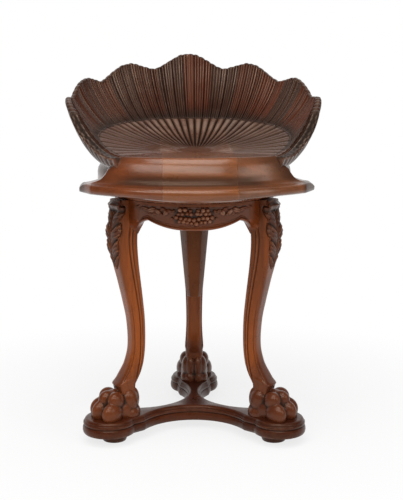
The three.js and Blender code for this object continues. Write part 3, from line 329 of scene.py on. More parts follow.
def buildShadeAndWearGroup():
    # old polish: dirt and painted shade darken the hollows of the carving, paler wood on its worn edges,
    # and the wear mask paints wear and highlights pale
    group, inside, outside = newGroup(
        "agedPolishShadeAndHighlights",
        {"Color": (0.2, 0.1, 0.05, 1), "Pointiness": 0.5, "Vector": None, "Worn And Highlight Color": (0.4, 0.2, 0.1, 1),
         "Hollow Mask": 0.0, "Wear And Highlight Mask": 0.0, "Hollow Share": 0.7, "Edge Share": 0.4},
        ["Color", "Roughness"],
    )
    patch, fine = (noiseNode(group, inside["Vector"], *noise) for noise in wearNoises.values())
    # painted shade with dirt: concave places and the hollow mask go dark
    hollow = larger(group, rangeNode(group, inside["Pointiness"], 0.5, 0.44), inside["Hollow Mask"])
    hollowShare = multiply(group, hollow, inside["Hollow Share"], clamp=True)
    edge = rangeNode(group, inside["Pointiness"], 0.52, 0.58)
    rubbed = multiply(group, rangeNode(group, patch, 0.4, 0.62), rangeNode(group, fine, 0.36, 0.58))
    clean = rangeNode(group, inside["Hollow Mask"], 0.1, 0.5, 1.0, 0.0)
    rubbedEdge = multiply(group, multiply(group, edge, rubbed), clean)
    # painted highlights, with wear, where the mask for them is set
    masked = multiply(group, inside["Wear And Highlight Mask"], rangeNode(group, patch, 0.35, 0.6, 0.35, 1.0))
    edgeShare = multiply(group, larger(group, rubbedEdge, masked), inside["Edge Share"], clamp=True)
    darkenedInHollows = mixNode(group, hollowShare, inside["Color"], finishLook["grimeAndShade"])
    rough = mathNode(group, "ADD", rangeNode(group, patch, 0.3, 0.7, 0.24, 0.38),
                     multiply(group, hollow, 0.35), clamp=True)
    worn = mixNode(group, edgeShare, darkenedInHollows, inside["Worn And Highlight Color"])
    feedInputs(group, outside, {"Color": worn, "Roughness": rough})
    return group


grainGroup = buildGrainGroup()
shadeAndWearGroup = buildShadeAndWearGroup()


def newMaterial(name):
    material = bpy.data.materials.new(name)
    material.use_nodes = True
    tree = material.node_tree
    place = addNode(tree, "ShaderNodeTexCoord").outputs["Object"]
    return material, tree, tree.nodes["Principled BSDF"], place


def woodMaterial(name, look):
    material, tree, shader, place = newMaterial(name)
    mapping = addNode(tree, "ShaderNodeMapping", {"Vector": place, "Scale": look["grain"]})
    grain = addNode(tree, "ShaderNodeGroup", {
        "Vector": mapping.outputs["Vector"], "Light Color": look["light"] + (1,),
        "Dark Color": look["dark"] + (1,), "Contrast": look["contrast"],
    }, node_tree=grainGroup).outputs
    # the stain mask also carries painted shade; the mask for hollows darkens them with dirt and painted
    # shade; the wear mask turns wear and painted highlights pale
    masks = {mask: addNode(tree, "ShaderNodeAttribute", attribute_name=mask).outputs["Fac"]
             for mask in ("stain", "dirtAndShade", "wearAndHighlights")}
    stained = multiply(tree, masks["stain"], look["stainShare"], clamp=True)
    wearAndHighlights = addNode(tree, "ShaderNodeGroup", {
        "Color": mixNode(tree, stained, grain["Color"], look["stain"] + (1,)), "Vector": place,
        "Pointiness": addNode(tree, "ShaderNodeNewGeometry").outputs["Pointiness"],
        "Worn And Highlight Color": look["worn"] + (1,), "Hollow Mask": masks["dirtAndShade"], "Wear And Highlight Mask": masks["wearAndHighlights"],
        "Hollow Share": look["hollowShare"], "Edge Share": look["edgeShare"],
    }, node_tree=shadeAndWearGroup).outputs
    height = mathNode(tree, "SUBTRACT", grain["Streak"], grain["Pore"])
    feedInputs(tree, shader, {
        "Base Color": wearAndHighlights["Color"], "Roughness": wearAndHighlights["Roughness"],
        "Normal": reliefNode(tree, height, look["relief"], finishLook["reliefDepth"]),
        "Coat Weight": rangeNode(tree, masks["stain"], 0, 1, look["coat"], look["stainedCoat"]),
        "Coat Roughness": look["coatRoughness"], "Specular IOR Level": look["shine"],
        "Specular Tint": finishLook["glossTint"],
    })
    return material


# What a user would change about each wood. A wood takes from the basics what it doesn't name.
# worn is the pale colour of rubbed edges and of painted highlights; stain also colours painted shade
woodBasics = {
    "contrast": 0.9, "stainShare": 0.8, "hollowShare": 0.97, "edgeShare": 0.5, "relief": 0.25, "coat": 0.1,
    "stainedCoat": 0.1, "coatRoughness": 0.2, "shine": 0.25,
}
seatBasics = {
    "grain": (0.09, 1.0, 1.0), "stainShare": 0.9, "relief": 0.2, "coat": 0.6, "stainedCoat": 0.06,
    "shine": 0.35,
}
woodLooks = {
    "leg": {"light": (0.400, 0.090, 0.010), "dark": (0.105, 0.022, 0.004), "stain": (0.054, 0.015, 0.009),
            "worn": (0.45, 0.17, 0.07), "grain": (1.0, 1.0, 0.09), "contrast": 0.95, "stainShare": 0.85,
            "hollowShare": 0.92, "edgeShare": 0.6, "coat": 0.15, "stainedCoat": 0.2},
    "base": {"light": (0.088, 0.018, 0.005), "dark": (0.026, 0.006, 0.003), "stain": (0.026, 0.009, 0.006),
             "worn": (0.24, 0.10, 0.05), "grain": (0.12, 1.0, 1.0), "hollowShare": 0.7},
    "housing": {"light": (0.150, 0.036, 0.007), "dark": (0.045, 0.012, 0.004),
                "stain": (0.035, 0.012, 0.008), "worn": (0.30, 0.12, 0.05), "grain": (1.0, 1.0, 0.09),
                "hollowShare": 0.6, "coat": 0.05, "stainedCoat": 0.05, "coatRoughness": 0.25, "shine": 0.2},
    "apron": {"light": (0.240, 0.050, 0.009), "dark": (0.078, 0.018, 0.005), "stain": (0.086, 0.020, 0.006),
              "worn": (0.46, 0.24, 0.15), "grain": (0.1, 0.1, 1.0), "stainShare": 0.7,
              "hollowShare": 0.9, "edgeShare": 0.7, "coat": 0.15, "stainedCoat": 0.8},
    "seatCentre": {**seatBasics, "light": (0.275, 0.080, 0.019), "dark": (0.090, 0.026, 0.009),
                   "stain": (0.042, 0.015, 0.008), "worn": (0.44, 0.30, 0.22)},
    "seatLeft": {**seatBasics, "light": (0.210, 0.050, 0.012), "dark": (0.065, 0.017, 0.006),
                 "stain": (0.038, 0.013, 0.007), "worn": (0.42, 0.28, 0.21), "contrast": 0.95},
    "seatRight": {**seatBasics, "light": (0.215, 0.068, 0.024), "dark": (0.070, 0.026, 0.012),
                  "stain": (0.036, 0.013, 0.007), "worn": (0.42, 0.29, 0.22), "contrast": 0.95},
    "shell": {"light": (0.056, 0.018, 0.009), "dark": (0.020, 0.008, 0.005), "stain": (0.105, 0.022, 0.009),
              "worn": (0.36, 0.24, 0.18), "grain": (1.0, 1.0, 0.08), "contrast": 0.8, "edgeShare": 0.85,
              "relief": 0.2, "stainedCoat": 0.01, "coatRoughness": 0.25},
    "hidden": {"light": (0.42, 0.25, 0.13), "dark": (0.26, 0.14, 0.07), "stain": (0.2, 0.1, 0.05),
               "worn": (0.5, 0.32, 0.18), "grain": (1.0, 1.0, 0.1), "contrast": 0.8, "stainShare": 0.0,
               "hollowShare": 0.3, "edgeShare": 0.2, "relief": 0.2, "coat": 0.0, "stainedCoat": 0.0,
               "coatRoughness": 0.4, "shine": 0.2},
}
woods = {name: woodMaterial(f"{name}Wood", {**woodBasics, **look}) for name, look in woodLooks.items()}


# Metal

metalLooks = {
    "castIron": {"clean": (0.055, 0.05, 0.047), "tarnish": (0.09, 0.045, 0.025), "cloud": 40, "speck": 600,
                 "smoothest": 0.45, "roughest": 0.75, "metallic": 0.85, "relief": 0.5},
    "turnedSteel": {"clean": (0.42, 0.41, 0.39), "tarnish": (0.2, 0.17, 0.14), "cloud": 60, "speck": 900,
                    "smoothest": 0.25, "roughest": 0.5, "metallic": 1.0, "relief": 0.15},
}
metalReliefDepth = 0.0004


def metalMaterial(name, look):
    material, tree, shader, place = newMaterial(name)
    cloud = noiseNode(tree, place, look["cloud"], 4.0)
    speck = noiseNode(tree, place, look["speck"], 3.0)
    tarnished = rangeNode(tree, cloud, 0.4, 0.65)
    feedInputs(tree, shader, {
        "Base Color": mixNode(tree, tarnished, look["clean"] + (1,), look["tarnish"] + (1,)),
        "Roughness": rangeNode(tree, cloud, 0.3, 0.7, look["smoothest"], look["roughest"]),
        "Metallic": look["metallic"], "Normal": reliefNode(tree, speck, look["relief"], metalReliefDepth),
    })
    return material


metals = {name: metalMaterial(name, look) for name, look in metalLooks.items()}
print("materials made")


# Platform and bun feet

platformSizes = {
    "bottom": 16.1, "lobeReach": 164.3, "lobeRadius": 44.7, "lobeSweep": 135,
    "cuspReach": 115, "cuspSpread": 14.2, "middleReach": 28.5,
    "lobeSteps": 72, "sideSteps": 60,
}
# inset and height of the moulded edge, from the underside up
platformEdge = [
    [5.0, 0.0], [2.2, 0.5], [0.7, 2.6], [0.0, 6.0], [0.2, 10.0], [1.1, 12.9], [2.5, 14.1], [3.1, 14.8],
    [2.7, 15.6], [1.7, 16.1], [1.1, 17.6], [1.2, 19.4], [1.9, 20.6], [2.9, 21.1], [3.2, 21.5], [3.3, 22.4],
    [3.9, 24.0], [5.0, 25.4], [6.4, 26.2], [8.2, 26.5],
]


def platformOutline(inset):
    sizes = platformSizes
    points = []
    # each hollow side is an arc through its two sharp points and its middle
    cusp, near, spread = sizes["cuspReach"], sizes["middleReach"], sizes["cuspSpread"]
    acrossCusp = cusp * math.cos(math.radians(60 - spread))
    hollowReach = (cusp**2 - near**2) / (2 * (acrossCusp - near))
    for angle in sorted(legAngles.values()):
        turns = np.linspace(-sizes["lobeSweep"], sizes["lobeSweep"], sizes["lobeSteps"] + 1)
        lobe = np.radians(angle + turns)
        points.append(sizes["lobeReach"] * toward(angle)
                      + (sizes["lobeRadius"] - inset) * np.column_stack([np.cos(lobe), np.sin(lobe)]))
        hollow = hollowReach * toward(angle + 60)
        start, end = (math.atan2(*(cusp * toward(place) - hollow)[::-1])
                      for place in (angle + spread, angle + 120 - spread))
        while end > start:
            end -= 2 * math.pi
        side = np.linspace(start, end, sizes["sideSteps"] + 1)
        points.append(hollow + (hollowReach - near + inset) * np.column_stack([np.cos(side), np.sin(side)]))
    return np.concatenate(points)


platformRings = np.array([platformOutline(inset) for inset, height in platformEdge])


def platformPlace(u, v):
    row = stepAt(v, len(platformEdge) - 1)
    step = stepAt(u, platformRings.shape[1]) % platformRings.shape[1]
    heights = np.array(platformEdge)[row, 1]
    return np.column_stack([platformRings[row, step], platformSizes["bottom"] + heights]), {}


platform = gridPiece("platformBoard", platformRings.shape[1], len(platformEdge) - 1, platformPlace,
                     capped=True)
finishPiece(platform, "frame", ["platform"], woods["base"], angle=30)

bunReach = 155
bunProfile = [
    [0, 0], [17.6, 0], [19.4, 0.6], [20.7, 3.0], [21.3, 6.6], [21.3, 8.6], [20.9, 11.4], [19.6, 13.4],
    [18.2, 14.0], [18.0, 14.6], [18.2, 15.8], [0, 15.8],
]
bunFoot = turnedPiece("bunFoot", bunProfile, steps=64)
bunFoot.location.x = bunReach * mm
turnPiece(bunFoot)
for side, angle in legAngles.items():
    foot = turnPiece(copyPiece(bunFoot, f"bunFoot_{side}"), angle)
    finishPiece(foot, "frame", [f"bun_foot_{side}"], woods["base"], angle=35)
bpy.data.objects.remove(bunFoot)
print("platform and feet done")


# Legs, drawn pointing along +X, then copied round

legSizes = {
    "ankle": 96, "ankleLength": 26, "top": 407.7, "bottom": 42.9, "shinReach": 112, "kneeReach": 136,
    "shinGirth": 25.8, "topGirth": 38, "columns": 176, "leafTop": 403, "leafTip": 292, "lobePitch": 27,
    "lobeSlant": 0.7, "gougesPerLobe": 4, "lipLevel": 97.5, "lipHeight": 2.4, "heelReach": 112,
    "pawVoxel": 1.15,
}
# how far out the leg's line runs between shin and knee, and how stout it is, from ankle to top
legLine = [
    [0, 1], [0.055, 0.55], [0.11, 0.22], [0.2, 0], [0.34, 0.04], [0.45, 0.25],
    [0.56, 0.51], [0.66, 0.76], [0.75, 0.9], [0.81, 0.91], [0.86, 0.82], [0.93, 0.7], [1, 0.66],
]
legGirth = [
    [0, 0.56], [0.055, 0.43], [0.11, 0.2], [0.2, 0], [0.34, 0.12], [0.45, 0.37],
    [0.56, 0.64], [0.66, 0.86], [0.75, 0.96], [0.81, 1], [1, 1],
]
# place of the bead on each side, from -1 at the back to 1 in front
legBead = [[0, -0.9], [0.03, -0.72], [0.09, -0.42], [0.2, -0.28], [1, -0.24]]
# half-width and height of the leaf, from its top at 0 to its tip at 1
leafHalfWidth = [
    [0, 19], [0.06, 25.5], [0.13, 25], [0.22, 20], [0.3, 21.5], [0.42, 23], [0.52, 20.5], [0.58, 18],
    [0.68, 18], [0.78, 14.5], [0.9, 8.5], [1, 0.3],
]
leafLift = [
    [0, 4.5], [0.03, 6.5], [0.08, 5.0], [0.14, 4.0], [0.24, 5.0], [0.4, 6.2], [0.5, 5.2], [0.58, 3.8],
    [0.68, 4.2], [0.8, 3.0], [0.92, 1.8], [1, 0.3],
]
# rows stand closest where the lip and the leaf are carved
legHeights = np.concatenate([
    np.linspace(70, 91, 8), np.linspace(92, 116, 25), np.linspace(118, 284, 84),
    np.linspace(285, legSizes["top"], 150),
])


def kneeLeaf(across, z):
    # relief of the leaf down the knee, with where it lies, its hollows, darkened with dirt and painted
    # shade, and its crests, painted pale as wear and highlight
    sizes = legSizes
    down = (sizes["leafTop"] - z) / (sizes["leafTop"] - sizes["leafTip"])
    away = np.abs(across)
    inLeaf = (down >= -0.04) & (down <= 1.0)
    halfWidth = readCurve(leafHalfWidth, down)
    ratio = away / np.maximum(halfWidth, 0.5)
    slant = sizes["lobeSlant"] * np.clip(ratio, 0, 1.3) ** 0.9
    sweep = (sizes["leafTop"] + 6 - z) / sizes["lobePitch"] + slant
    saw = sweep - np.floor(sweep)
    notch = bump(saw - 1, 0.1) + bump(saw, 0.08)
    width = halfWidth * (1.03 - 0.2 * notch)
    edge = np.where(inLeaf, ramp(away, width, -1.8), 0)
    outside = ramp(ratio, 0.1, 0.25)
    # each lobe is hollowed along its length, with finer gouges in it
    fold = (1.7 * np.sin(np.pi * saw) ** 0.8 - 2.4 * notch) * outside
    gouges = 0.55 * np.cos(2 * np.pi * sizes["gougesPerLobe"] * sweep) * outside * (1 - notch)
    fade = ramp(down, 0.1, 0.06) * (1 - 0.6 * ramp(down, 0.75, 0.25))
    vein = 1.5 * bump(away - 2.2, 1.1) - 1.6 * bump(across, 0.9)
    lift = readCurve(leafLift, down) * (1 - 0.45 * np.clip(ratio, 0, 1) ** 2)
    # its top rolls over into a scroll
    curl = 5.0 * bump(z - 400, 3.2) * bump(across, 9) + 2.4 * bump(z - 396, 5.0) * bump(away - 18, 4.2)
    curl = curl - 1.6 * bump(z - 390, 2.6) * bump(across, 14)
    curl = curl - 2.2 * bump(z - 396, 1.8) * bump(away - 18, 2.2)
    relief = edge * (lift + (fold + gouges) * fade + vein * (down > 0.12))
    relief = relief + (curl - bump(away - width - 1.0, 0.9)) * inLeaf
    dirtAndShade = 1.1 * notch * outside * fade + bump(across, 0.9) + 0.8 * bump(z - 390.5, 2.4)
    return relief, edge, edge * np.clip(dirtAndShade, 0, 1), 0.5 * edge * fade * bump(saw - 0.2, 0.1) * outside


def legPlace(u, v):
    sizes = legSizes
    z = legHeights[stepAt(v, len(legHeights) - 1)]
    share = (z - sizes["ankle"]) / (sizes["top"] - sizes["ankle"])
    low = np.clip((sizes["ankle"] - z) / sizes["ankleLength"], 0, 1)
    reach = sizes["shinReach"] + (sizes["kneeReach"] - sizes["shinReach"]) * readCurve(legLine, share)
    reach = reach - 2 * low
    girth = sizes["shinGirth"] + (sizes["topGirth"] - sizes["shinGirth"]) * readCurve(legGirth, share)
    half = (girth - 6 * low) / 2
    # round at the shin, squarer towards the top
    power = 4.6 + 5 * ramp(share, 0.55, 0.3)
    cos, sin = np.cos(2 * np.pi * u), np.sin(2 * np.pi * u)
    radius = (np.abs(cos) ** power + np.abs(sin) ** power) ** (-1 / power)
    x, y = half * radius * cos, half * radius * sin
    along = x / half
    onSide = np.clip((np.abs(y) / half - 0.75) / 0.15, 0, 1)
    # the inner part of each side falls back behind a bead
    beadPlace = np.interp(share, *np.transpose(legBead))
    beadFade = ramp(z, 396, -14) * ramp(z, 100, 10)
    y = y * (1 - 0.12 * smoothStep((beadPlace - along) / 0.75) * beadFade)
    fromBead = along - beadPlace
    bead = 1.6 * bump(fromBead, 0.07) - 1.2 * bump(fromBead - 0.16, 0.06) - bump(fromBead + 0.15, 0.07)
    outerBead = (0.9 * bump(along - 0.86, 0.07) - 0.8 * bump(along - 0.68, 0.07)) * ramp(z, 262, -50)
    y = y + np.sign(y) * onSide * beadFade * (bead + outerBead)
    # lip above the paw
    lipLevel = z - sizes["lipLevel"]
    x = x + sizes["lipHeight"] * bump(lipLevel, 4.2) * np.clip(cos, 0, 1) ** 2
    y = y + np.sign(y) * onSide * bump(lipLevel - 7 * (1 - along), 3.2) * np.clip(along + 0.8, 0, 1)
    # the leaf wraps round the corners: distance from the middle of the outer face
    around = np.sign(y) * (2 * half - x)
    across = np.where((x > 0) & (np.abs(y) < np.clip(x, 0, None) * 0.999), y, around)
    relief, edge, dirtAndShade, wearAndHighlights = kneeLeaf(across, z)
    wallX = np.sign(cos) * np.abs(cos * radius) ** (power - 1)
    wallY = np.sign(sin) * np.abs(sin * radius) ** (power - 1)
    size = np.hypot(wallX, wallY)
    x = x + relief * wallX / size
    y = y + relief * wallY / size
    # darker on the leaf, towards the ankle, at the top and on the outer face
    stain = edge * 0.8 + 0.55 * ramp(z, 150, -50) + 0.35 * ramp(z, 380, 20) + 0.28 * ramp(along, 0.6, 0.25)
    # dirt and painted shade in the grooves beside the bead, wear and a painted highlight on its crest
    besideBead = bump(fromBead - 0.16, 0.06) + bump(fromBead + 0.15, 0.07)
    dirtAndShade = dirtAndShade + 0.7 * onSide * beadFade * besideBead
    wearAndHighlights = wearAndHighlights + 0.4 * onSide * beadFade * bump(fromBead, 0.06)
    return np.column_stack([reach + x, y, z]), {"stain": stain, "dirtAndShade": dirtAndShade, "wearAndHighlights": wearAndHighlights}


# swellings of the paw: place out from the heel, across and up from its foot, half sizes along each,
# then degrees that it dips outwards and turns to its side
pawMiddle = [
    (36, 0, 10, 33, 25, 27, 0, 0), (27, 0, 27, 21, 15.5, 25, 0, 0), (45, 0, 22, 24, 20, 23, 10, 0),
    (24, 0, 39, 14, 12.5, 17, 0, 0),
]
pawToes = [(56, 0, 30, 15, 11.5, 15, 20, 0), (64, 0, 10, 20, 12, 20, 30, 0)]
# and those that stand on both sides
pawLobes = [
    (47, 15, 30, 15.5, 12, 15.5, 20, 16), (56, 20, 9, 20.5, 13, 20, 28, 16),
    (20, 12.5, 25, 15, 11, 20, 0, 0), (20, 14, 3, 16.5, 11.5, 14, 0, 0),
    (9.5, 6.8, 26, 9.8, 8.6, 20, 0, 0), (9.5, 8.2, 4, 11, 9.6, 14, 0, 0),
]


def makePaw():
    sizes = legSizes
    swellings = pawMiddle + pawToes
    swellings += [(x, side * y, *rest, side * yaw) for x, y, *rest, yaw in pawLobes for side in (-1, 1)]
    balls = [
        addShape(bpy.ops.mesh.primitive_uv_sphere_add, segments=32, ring_count=20, radius=1,
                 scale=(deep * mm, wide * mm, high * mm),
                 location=((sizes["heelReach"] + x) * mm, y * mm, (sizes["bottom"] + z) * mm),
                 rotation=(0, math.radians(dip), math.radians(yaw)))
        for x, y, z, deep, wide, high, dip, yaw in swellings
    ]
    paw = joinPieces(*balls)
    bpy.ops.object.transform_apply(location=True, rotation=True, scale=True)
    applyModifier(paw, "REMESH", mode="VOXEL", voxel_size=sizes["pawVoxel"] * mm)
    applyModifier(paw, "SMOOTH", factor=0.5, iterations=12)
    selectOnly(paw)
    bpy.ops.object.mode_set(mode="EDIT")
    bpy.ops.mesh.select_all(action="SELECT")
    bpy.ops.mesh.bisect(plane_co=(0, 0, sizes["bottom"] * mm), plane_no=(0, 0, 1), use_fill=True,
                        clear_inner=True)
    bpy.ops.object.mode_set(mode="OBJECT")
    # a much smoother copy tells the creases from the crests
    smooth = copyPiece(paw, "pawSmooth")
    applyModifier(smooth, "SMOOTH", factor=1.0, iterations=60)
    sunk = ((readPoints(smooth) - readPoints(paw)) * readPoints(paw, "normal")).sum(axis=1) / mm
    bpy.data.objects.remove(smooth)
    saveMask(paw, "stain", 0.82)
    # creases darkened with dirt and painted shade, crests paler with wear and painted highlight
    saveMask(paw, "dirtAndShade", ramp(sunk, -0.1, 1.1))
    saveMask(paw, "wearAndHighlights", 0.25 * ramp(sunk, -0.6, -1.2))
    return paw


# painted shade: how much darker each leg is painted than the most lit one, the back one most
legPaintedShade = {"front_left": 0, "front_right": 0.08, "back": 0.3}
leg = gridPiece("leg", legSizes["columns"], len(legHeights) - 1, legPlace, capped=True)
leg = joinPieces(leg, makePaw())
for side, angle in legAngles.items():
    copy = turnPiece(copyPiece(leg, f"cabrioleLeg_{side}"), angle)
    stained = np.empty(len(copy.data.vertices), dtype=np.float32)
    copy.data.attributes["stain"].data.foreach_get("value", stained)
    saveMask(copy, "stain", stained + legPaintedShade[side])
    finishPiece(copy, "frame", [f"leg_{side}"], woods["leg"], angle=50)
bpy.data.objects.remove(leg)
print("legs done")


# Aprons, drawn with their middle along +X

apronSizes = {
    "radius": 134, "thickness": 22, "top": 407.7, "middleDrop": 42.6, "cuspDrop": 28.7, "endDrop": 56.7,
    "cuspAcross": 74, "bracketWidth": 19, "halfSweep": 52.5, "columns": 320, "edgeRound": 2.2,
    "legSide": 16.8, "leanStart": 76, "leanWidth": 12, "berryRadius": 3.9,
}
apronRows = {"face": 60, "top": 4, "back": 4, "underside": 4}
# leaves and curls: distance along the face, height, half length, half width, tilt, height of relief
apronLeaves = [
    (40.0, 396.5, 4.4, 3.0, 40, 2.0), (46.5, 393.0, 5.2, 4.4, -55, 2.8), (51.0, 399.0, 5.0, 2.6, 25, 1.9),
    (59.5, 394.5, 6.2, 3.6, 38, 2.8), (66.0, 390.5, 5.2, 2.8, -25, 2.0), (72.0, 396.5, 8.5, 4.2, -14, 2.6),
    (84.0, 397.5, 9.0, 3.4, 12, 2.2), (96.0, 400.5, 7.5, 2.2, -12, 1.5), (78.0, 391.5, 5.5, 2.2, 22, 1.5),
]
stemSizes = {
    "start": 33, "end": 100, "level": 395.5, "sway": 2.4, "pitch": 6.4, "halfWidth": 1.4, "rise": 1.3,
}
# rows of the bunch of berries: height, places across on each side of its middle
berryRows = [
    (398.4, (14.4, 21.4)), (392.4, (4.6, 11.0, 17.8, 24.8)), (386.4, (0, 7.0, 14.0, 21.0, 28.0)),
    (380.4, (3.5, 10.4, 17.2, 24.0)),
]
# small ones round it: place across, height, radius
smallBerries = [(6.0, 397.5, 3.2), (33.0, 396.5, 3.0), (35.5, 384.8, 2.4), (53.5, 391.0, 2.2)]


def apronDrop(across):
    sizes = apronSizes
    away = np.abs(across)
    middle, cusp, end = sizes["middleDrop"], sizes["cuspDrop"], sizes["endDrop"]
    inner = middle + (cusp - middle) * (away / sizes["cuspAcross"]) ** 2.6
    share = np.clip((away - sizes["cuspAcross"]) / sizes["bracketWidth"], 0, 1)
    outer = cusp + (end - cusp) * (1 - np.sqrt(1 - share**2))
    return np.where(away <= sizes["cuspAcross"], inner, outer)


def apronRelief(along, z):
    height = np.zeros_like(along)
    away = np.abs(along)
    for centre, level, longHalf, wideHalf, tilt, rise in apronLeaves:
        dx, dz = away - centre, z - level
        turn = math.radians(tilt)
        a = (dx * math.cos(turn) + dz * math.sin(turn)) / longHalf
        b = (-dx * math.sin(turn) + dz * math.cos(turn)) / (wideHalf * (1 - 0.35 * np.clip(a, -1, 1)))
        dome = np.sqrt(np.clip(1 - a**2 - b**2, 0, 1))
        vein = 0.6 * bump(b, 0.18) * (dome > 0.2)
        height = np.maximum(height, rise * (dome**0.7) - vein)
    # stems that join the leaves
    stem = stemSizes["level"] + stemSizes["sway"] * np.sin(away / stemSizes["pitch"])
    stems = stemSizes["rise"] * np.sqrt(np.clip(1 - ((z - stem) / stemSizes["halfWidth"]) ** 2, 0, 1))
    return np.maximum(height, stems * ramp(away, stemSizes["start"], 3) * ramp(away, stemSizes["end"], -6))


def apronPlace(u, v):
    sizes = apronSizes
    top, outer, rounding = sizes["top"], sizes["radius"], sizes["edgeRound"]
    inner = outer - sizes["thickness"]
    # stations stand closer together on the brackets at the ends
    place = 2 * u - 1
    angle = sizes["halfSweep"] * np.sign(place) * np.interp(np.abs(place), [0, 0.5, 1], [0, 0.62, 1])
    turn = np.radians(angle)
    along = turn * outer
    away = np.abs(along)
    row = stepAt(v, sum(apronRows.values()))
    face, over, behind, under = bandShares(row, apronRows)
    low = top - apronDrop(outer * np.sin(turn))
    innerLow = top - apronDrop(inner * np.sin(turn))
    faceZ = low + (top - low) * face
    up = faceZ - low
    leaves = apronRelief(along, faceZ)
    bead = 1.2 * bump(up - 2.2, 1.5) - 0.8 * bump(up - 5.4, 1.0)
    # the carved band lies a little behind the plain rim
    panel = ramp(up, 6, 1.8) * ramp(faceZ, 404, -1.6) * ramp(away, 102, -6)
    roundEdge = rounding * (1 - np.sqrt(np.clip(1 - (1 - np.clip(up / rounding, 0, 1)) ** 2, 0, 1)))
    faceR = outer + (leaves + bead - 1.3 * panel) * ramp(up, 0, 0.8) - roundEdge
    radius = pickBand(row, apronRows, faceR, outer - sizes["thickness"] * over, inner,
                      inner + (sizes["thickness"] - rounding) * under)
    z = pickBand(row, apronRows, faceZ, top, top - (top - innerLow) * behind,
                 innerLow + (low - innerLow) * under)
    x, y = radius * np.cos(turn), radius * np.sin(turn)
    # the brackets lean back until they lie in the leg's side
    onFace = row <= apronRows["face"]
    lean = ramp(z, top - sizes["cuspDrop"], sizes["cuspDrop"] - sizes["endDrop"])
    lean = lean * ramp(np.abs(y), sizes["leanStart"], sizes["leanWidth"])
    legFace = (sizes["legSide"] + 0.5 * np.abs(y)) / math.cos(math.radians(30))
    x = np.where(onFace | (under > 0), x + lean * np.minimum(0, legFace - x), x)
    leafMask = np.clip(leaves / 1.2, 0, 1)
    stain = 0.45 * panel * (1 - leafMask) + 0.25 * leafMask
    # painted shade, with dirt, round the leaves, in the groove above the bead and on the ground behind the
    # berries
    ground = ramp(away, 34, -5) * ramp(z, 374, 5) * ramp(z, 402, -3)
    dirtAndShade = 0.75 * panel * bump(leaves - 0.15, 0.3) * (away > 36) * (leaves > 0.01)
    dirtAndShade = dirtAndShade + 0.5 * bump(up - 5.4, 1.0) + 0.85 * ground
    # painted highlights, with wear, on the leaves' tops and on the bead
    wearAndHighlights = 0.7 * ramp(leaves, 1.6, 0.9) + 0.3 * bump(up - 2.2, 1.0)
    masks = {"stain": np.where(onFace, stain, 0.2), "dirtAndShade": dirtAndShade * onFace, "wearAndHighlights": wearAndHighlights * onFace}
    return np.column_stack([x, y, z]), masks


def makeBerries():
    sizes = apronSizes
    uneven = np.random.default_rng(7)
    spots = []
    for level, places in berryRows:
        for place in places:
            for side in (-1, 1) if place else (1,):
                sag = 3.0 * bump(place, 14) * (level < 390)
                stray, rise, swelling = uneven.uniform(-1, 1, 3)
                spots.append((side * place + 0.8 * stray, level - sag + 0.7 * rise,
                              sizes["berryRadius"] * (1 + 0.12 * swelling)))
    spots += [(side * place, level, radius) for side in (-1, 1) for place, level, radius in smallBerries]
    reach = (sizes["radius"] - 0.4) * mm
    balls = [
        addShape(bpy.ops.mesh.primitive_uv_sphere_add, segments=20, ring_count=12, radius=radius * mm,
                 location=(*reach * toward(math.degrees(across / sizes["radius"])), level * mm))
        for across, level, radius in spots
    ]
    bunch = joinPieces(*balls)
    bpy.ops.object.transform_apply(location=True, rotation=True, scale=True)
    raised = np.hypot(*readPoints(bunch)[:, :2].T) / mm - sizes["radius"]
    saveMask(bunch, "stain", 0.2)
    # painted shade on the berries' sides near the apron and where they meet, and a painted highlight with
    # wear on the outermost part of each
    saveMask(bunch, "dirtAndShade", ramp(raised, 1.5, -1.5))
    saveMask(bunch, "wearAndHighlights", 0.8 * ramp(raised, 2.3, 1.1))
    return bunch


apron = gridPiece("apron", apronSizes["columns"], sum(apronRows.values()), apronPlace, capped=True)
apron = joinPieces(apron, makeBerries())
for side, angle in apronAngles.items():
    copy = turnPiece(copyPiece(apron, f"carvedApron_{side}"), angle)
    finishPiece(copy, "frame", [f"apron_{side}"], woods["apron"], angle=50)
bpy.data.objects.remove(apron)
print("aprons done")


# Top board and the post that houses the screw

boardProfile = [
    [0, 392], [111, 392], [111, 408], [132.5, 408], [134.6, 408.5], [135.8, 410], [136, 412],
    [135.6, 414.2], [134.2, 415.6], [132, 416], [31.3, 416], [31.3, 410.7], [16.1, 410.7], [16.1, 400],
    [0, 400],
]
boardScrews = {"reach": 122, "level": 414.6, "headRadius": 4.7, "footRadius": 2.4, "depth": 4}
topBoard = turnedPiece("topBoard", boardProfile, steps=160)
screwSeats = [
    addShape(bpy.ops.mesh.primitive_cone_add, vertices=24, radius1=boardScrews["footRadius"] * mm,
             radius2=boardScrews["headRadius"] * mm, depth=boardScrews["depth"] * mm,
             location=(*boardScrews["reach"] * mm * toward(angle), boardScrews["level"] * mm))
    for angle in range(30, 360, 60)
]
cutWith(topBoard, joinPieces(*screwSeats))
finishPiece(topBoard, "frame", ["top_board"], woods["apron"])

housingSizes = {
    "topWidth": 58, "footWidth": 30.7, "tipWidth": 25, "top": 391.7, "foot": 244, "tip": 231, "tipStep": 2,
    "tipSpread": 1.02, "edgeRound": 1.1,
}


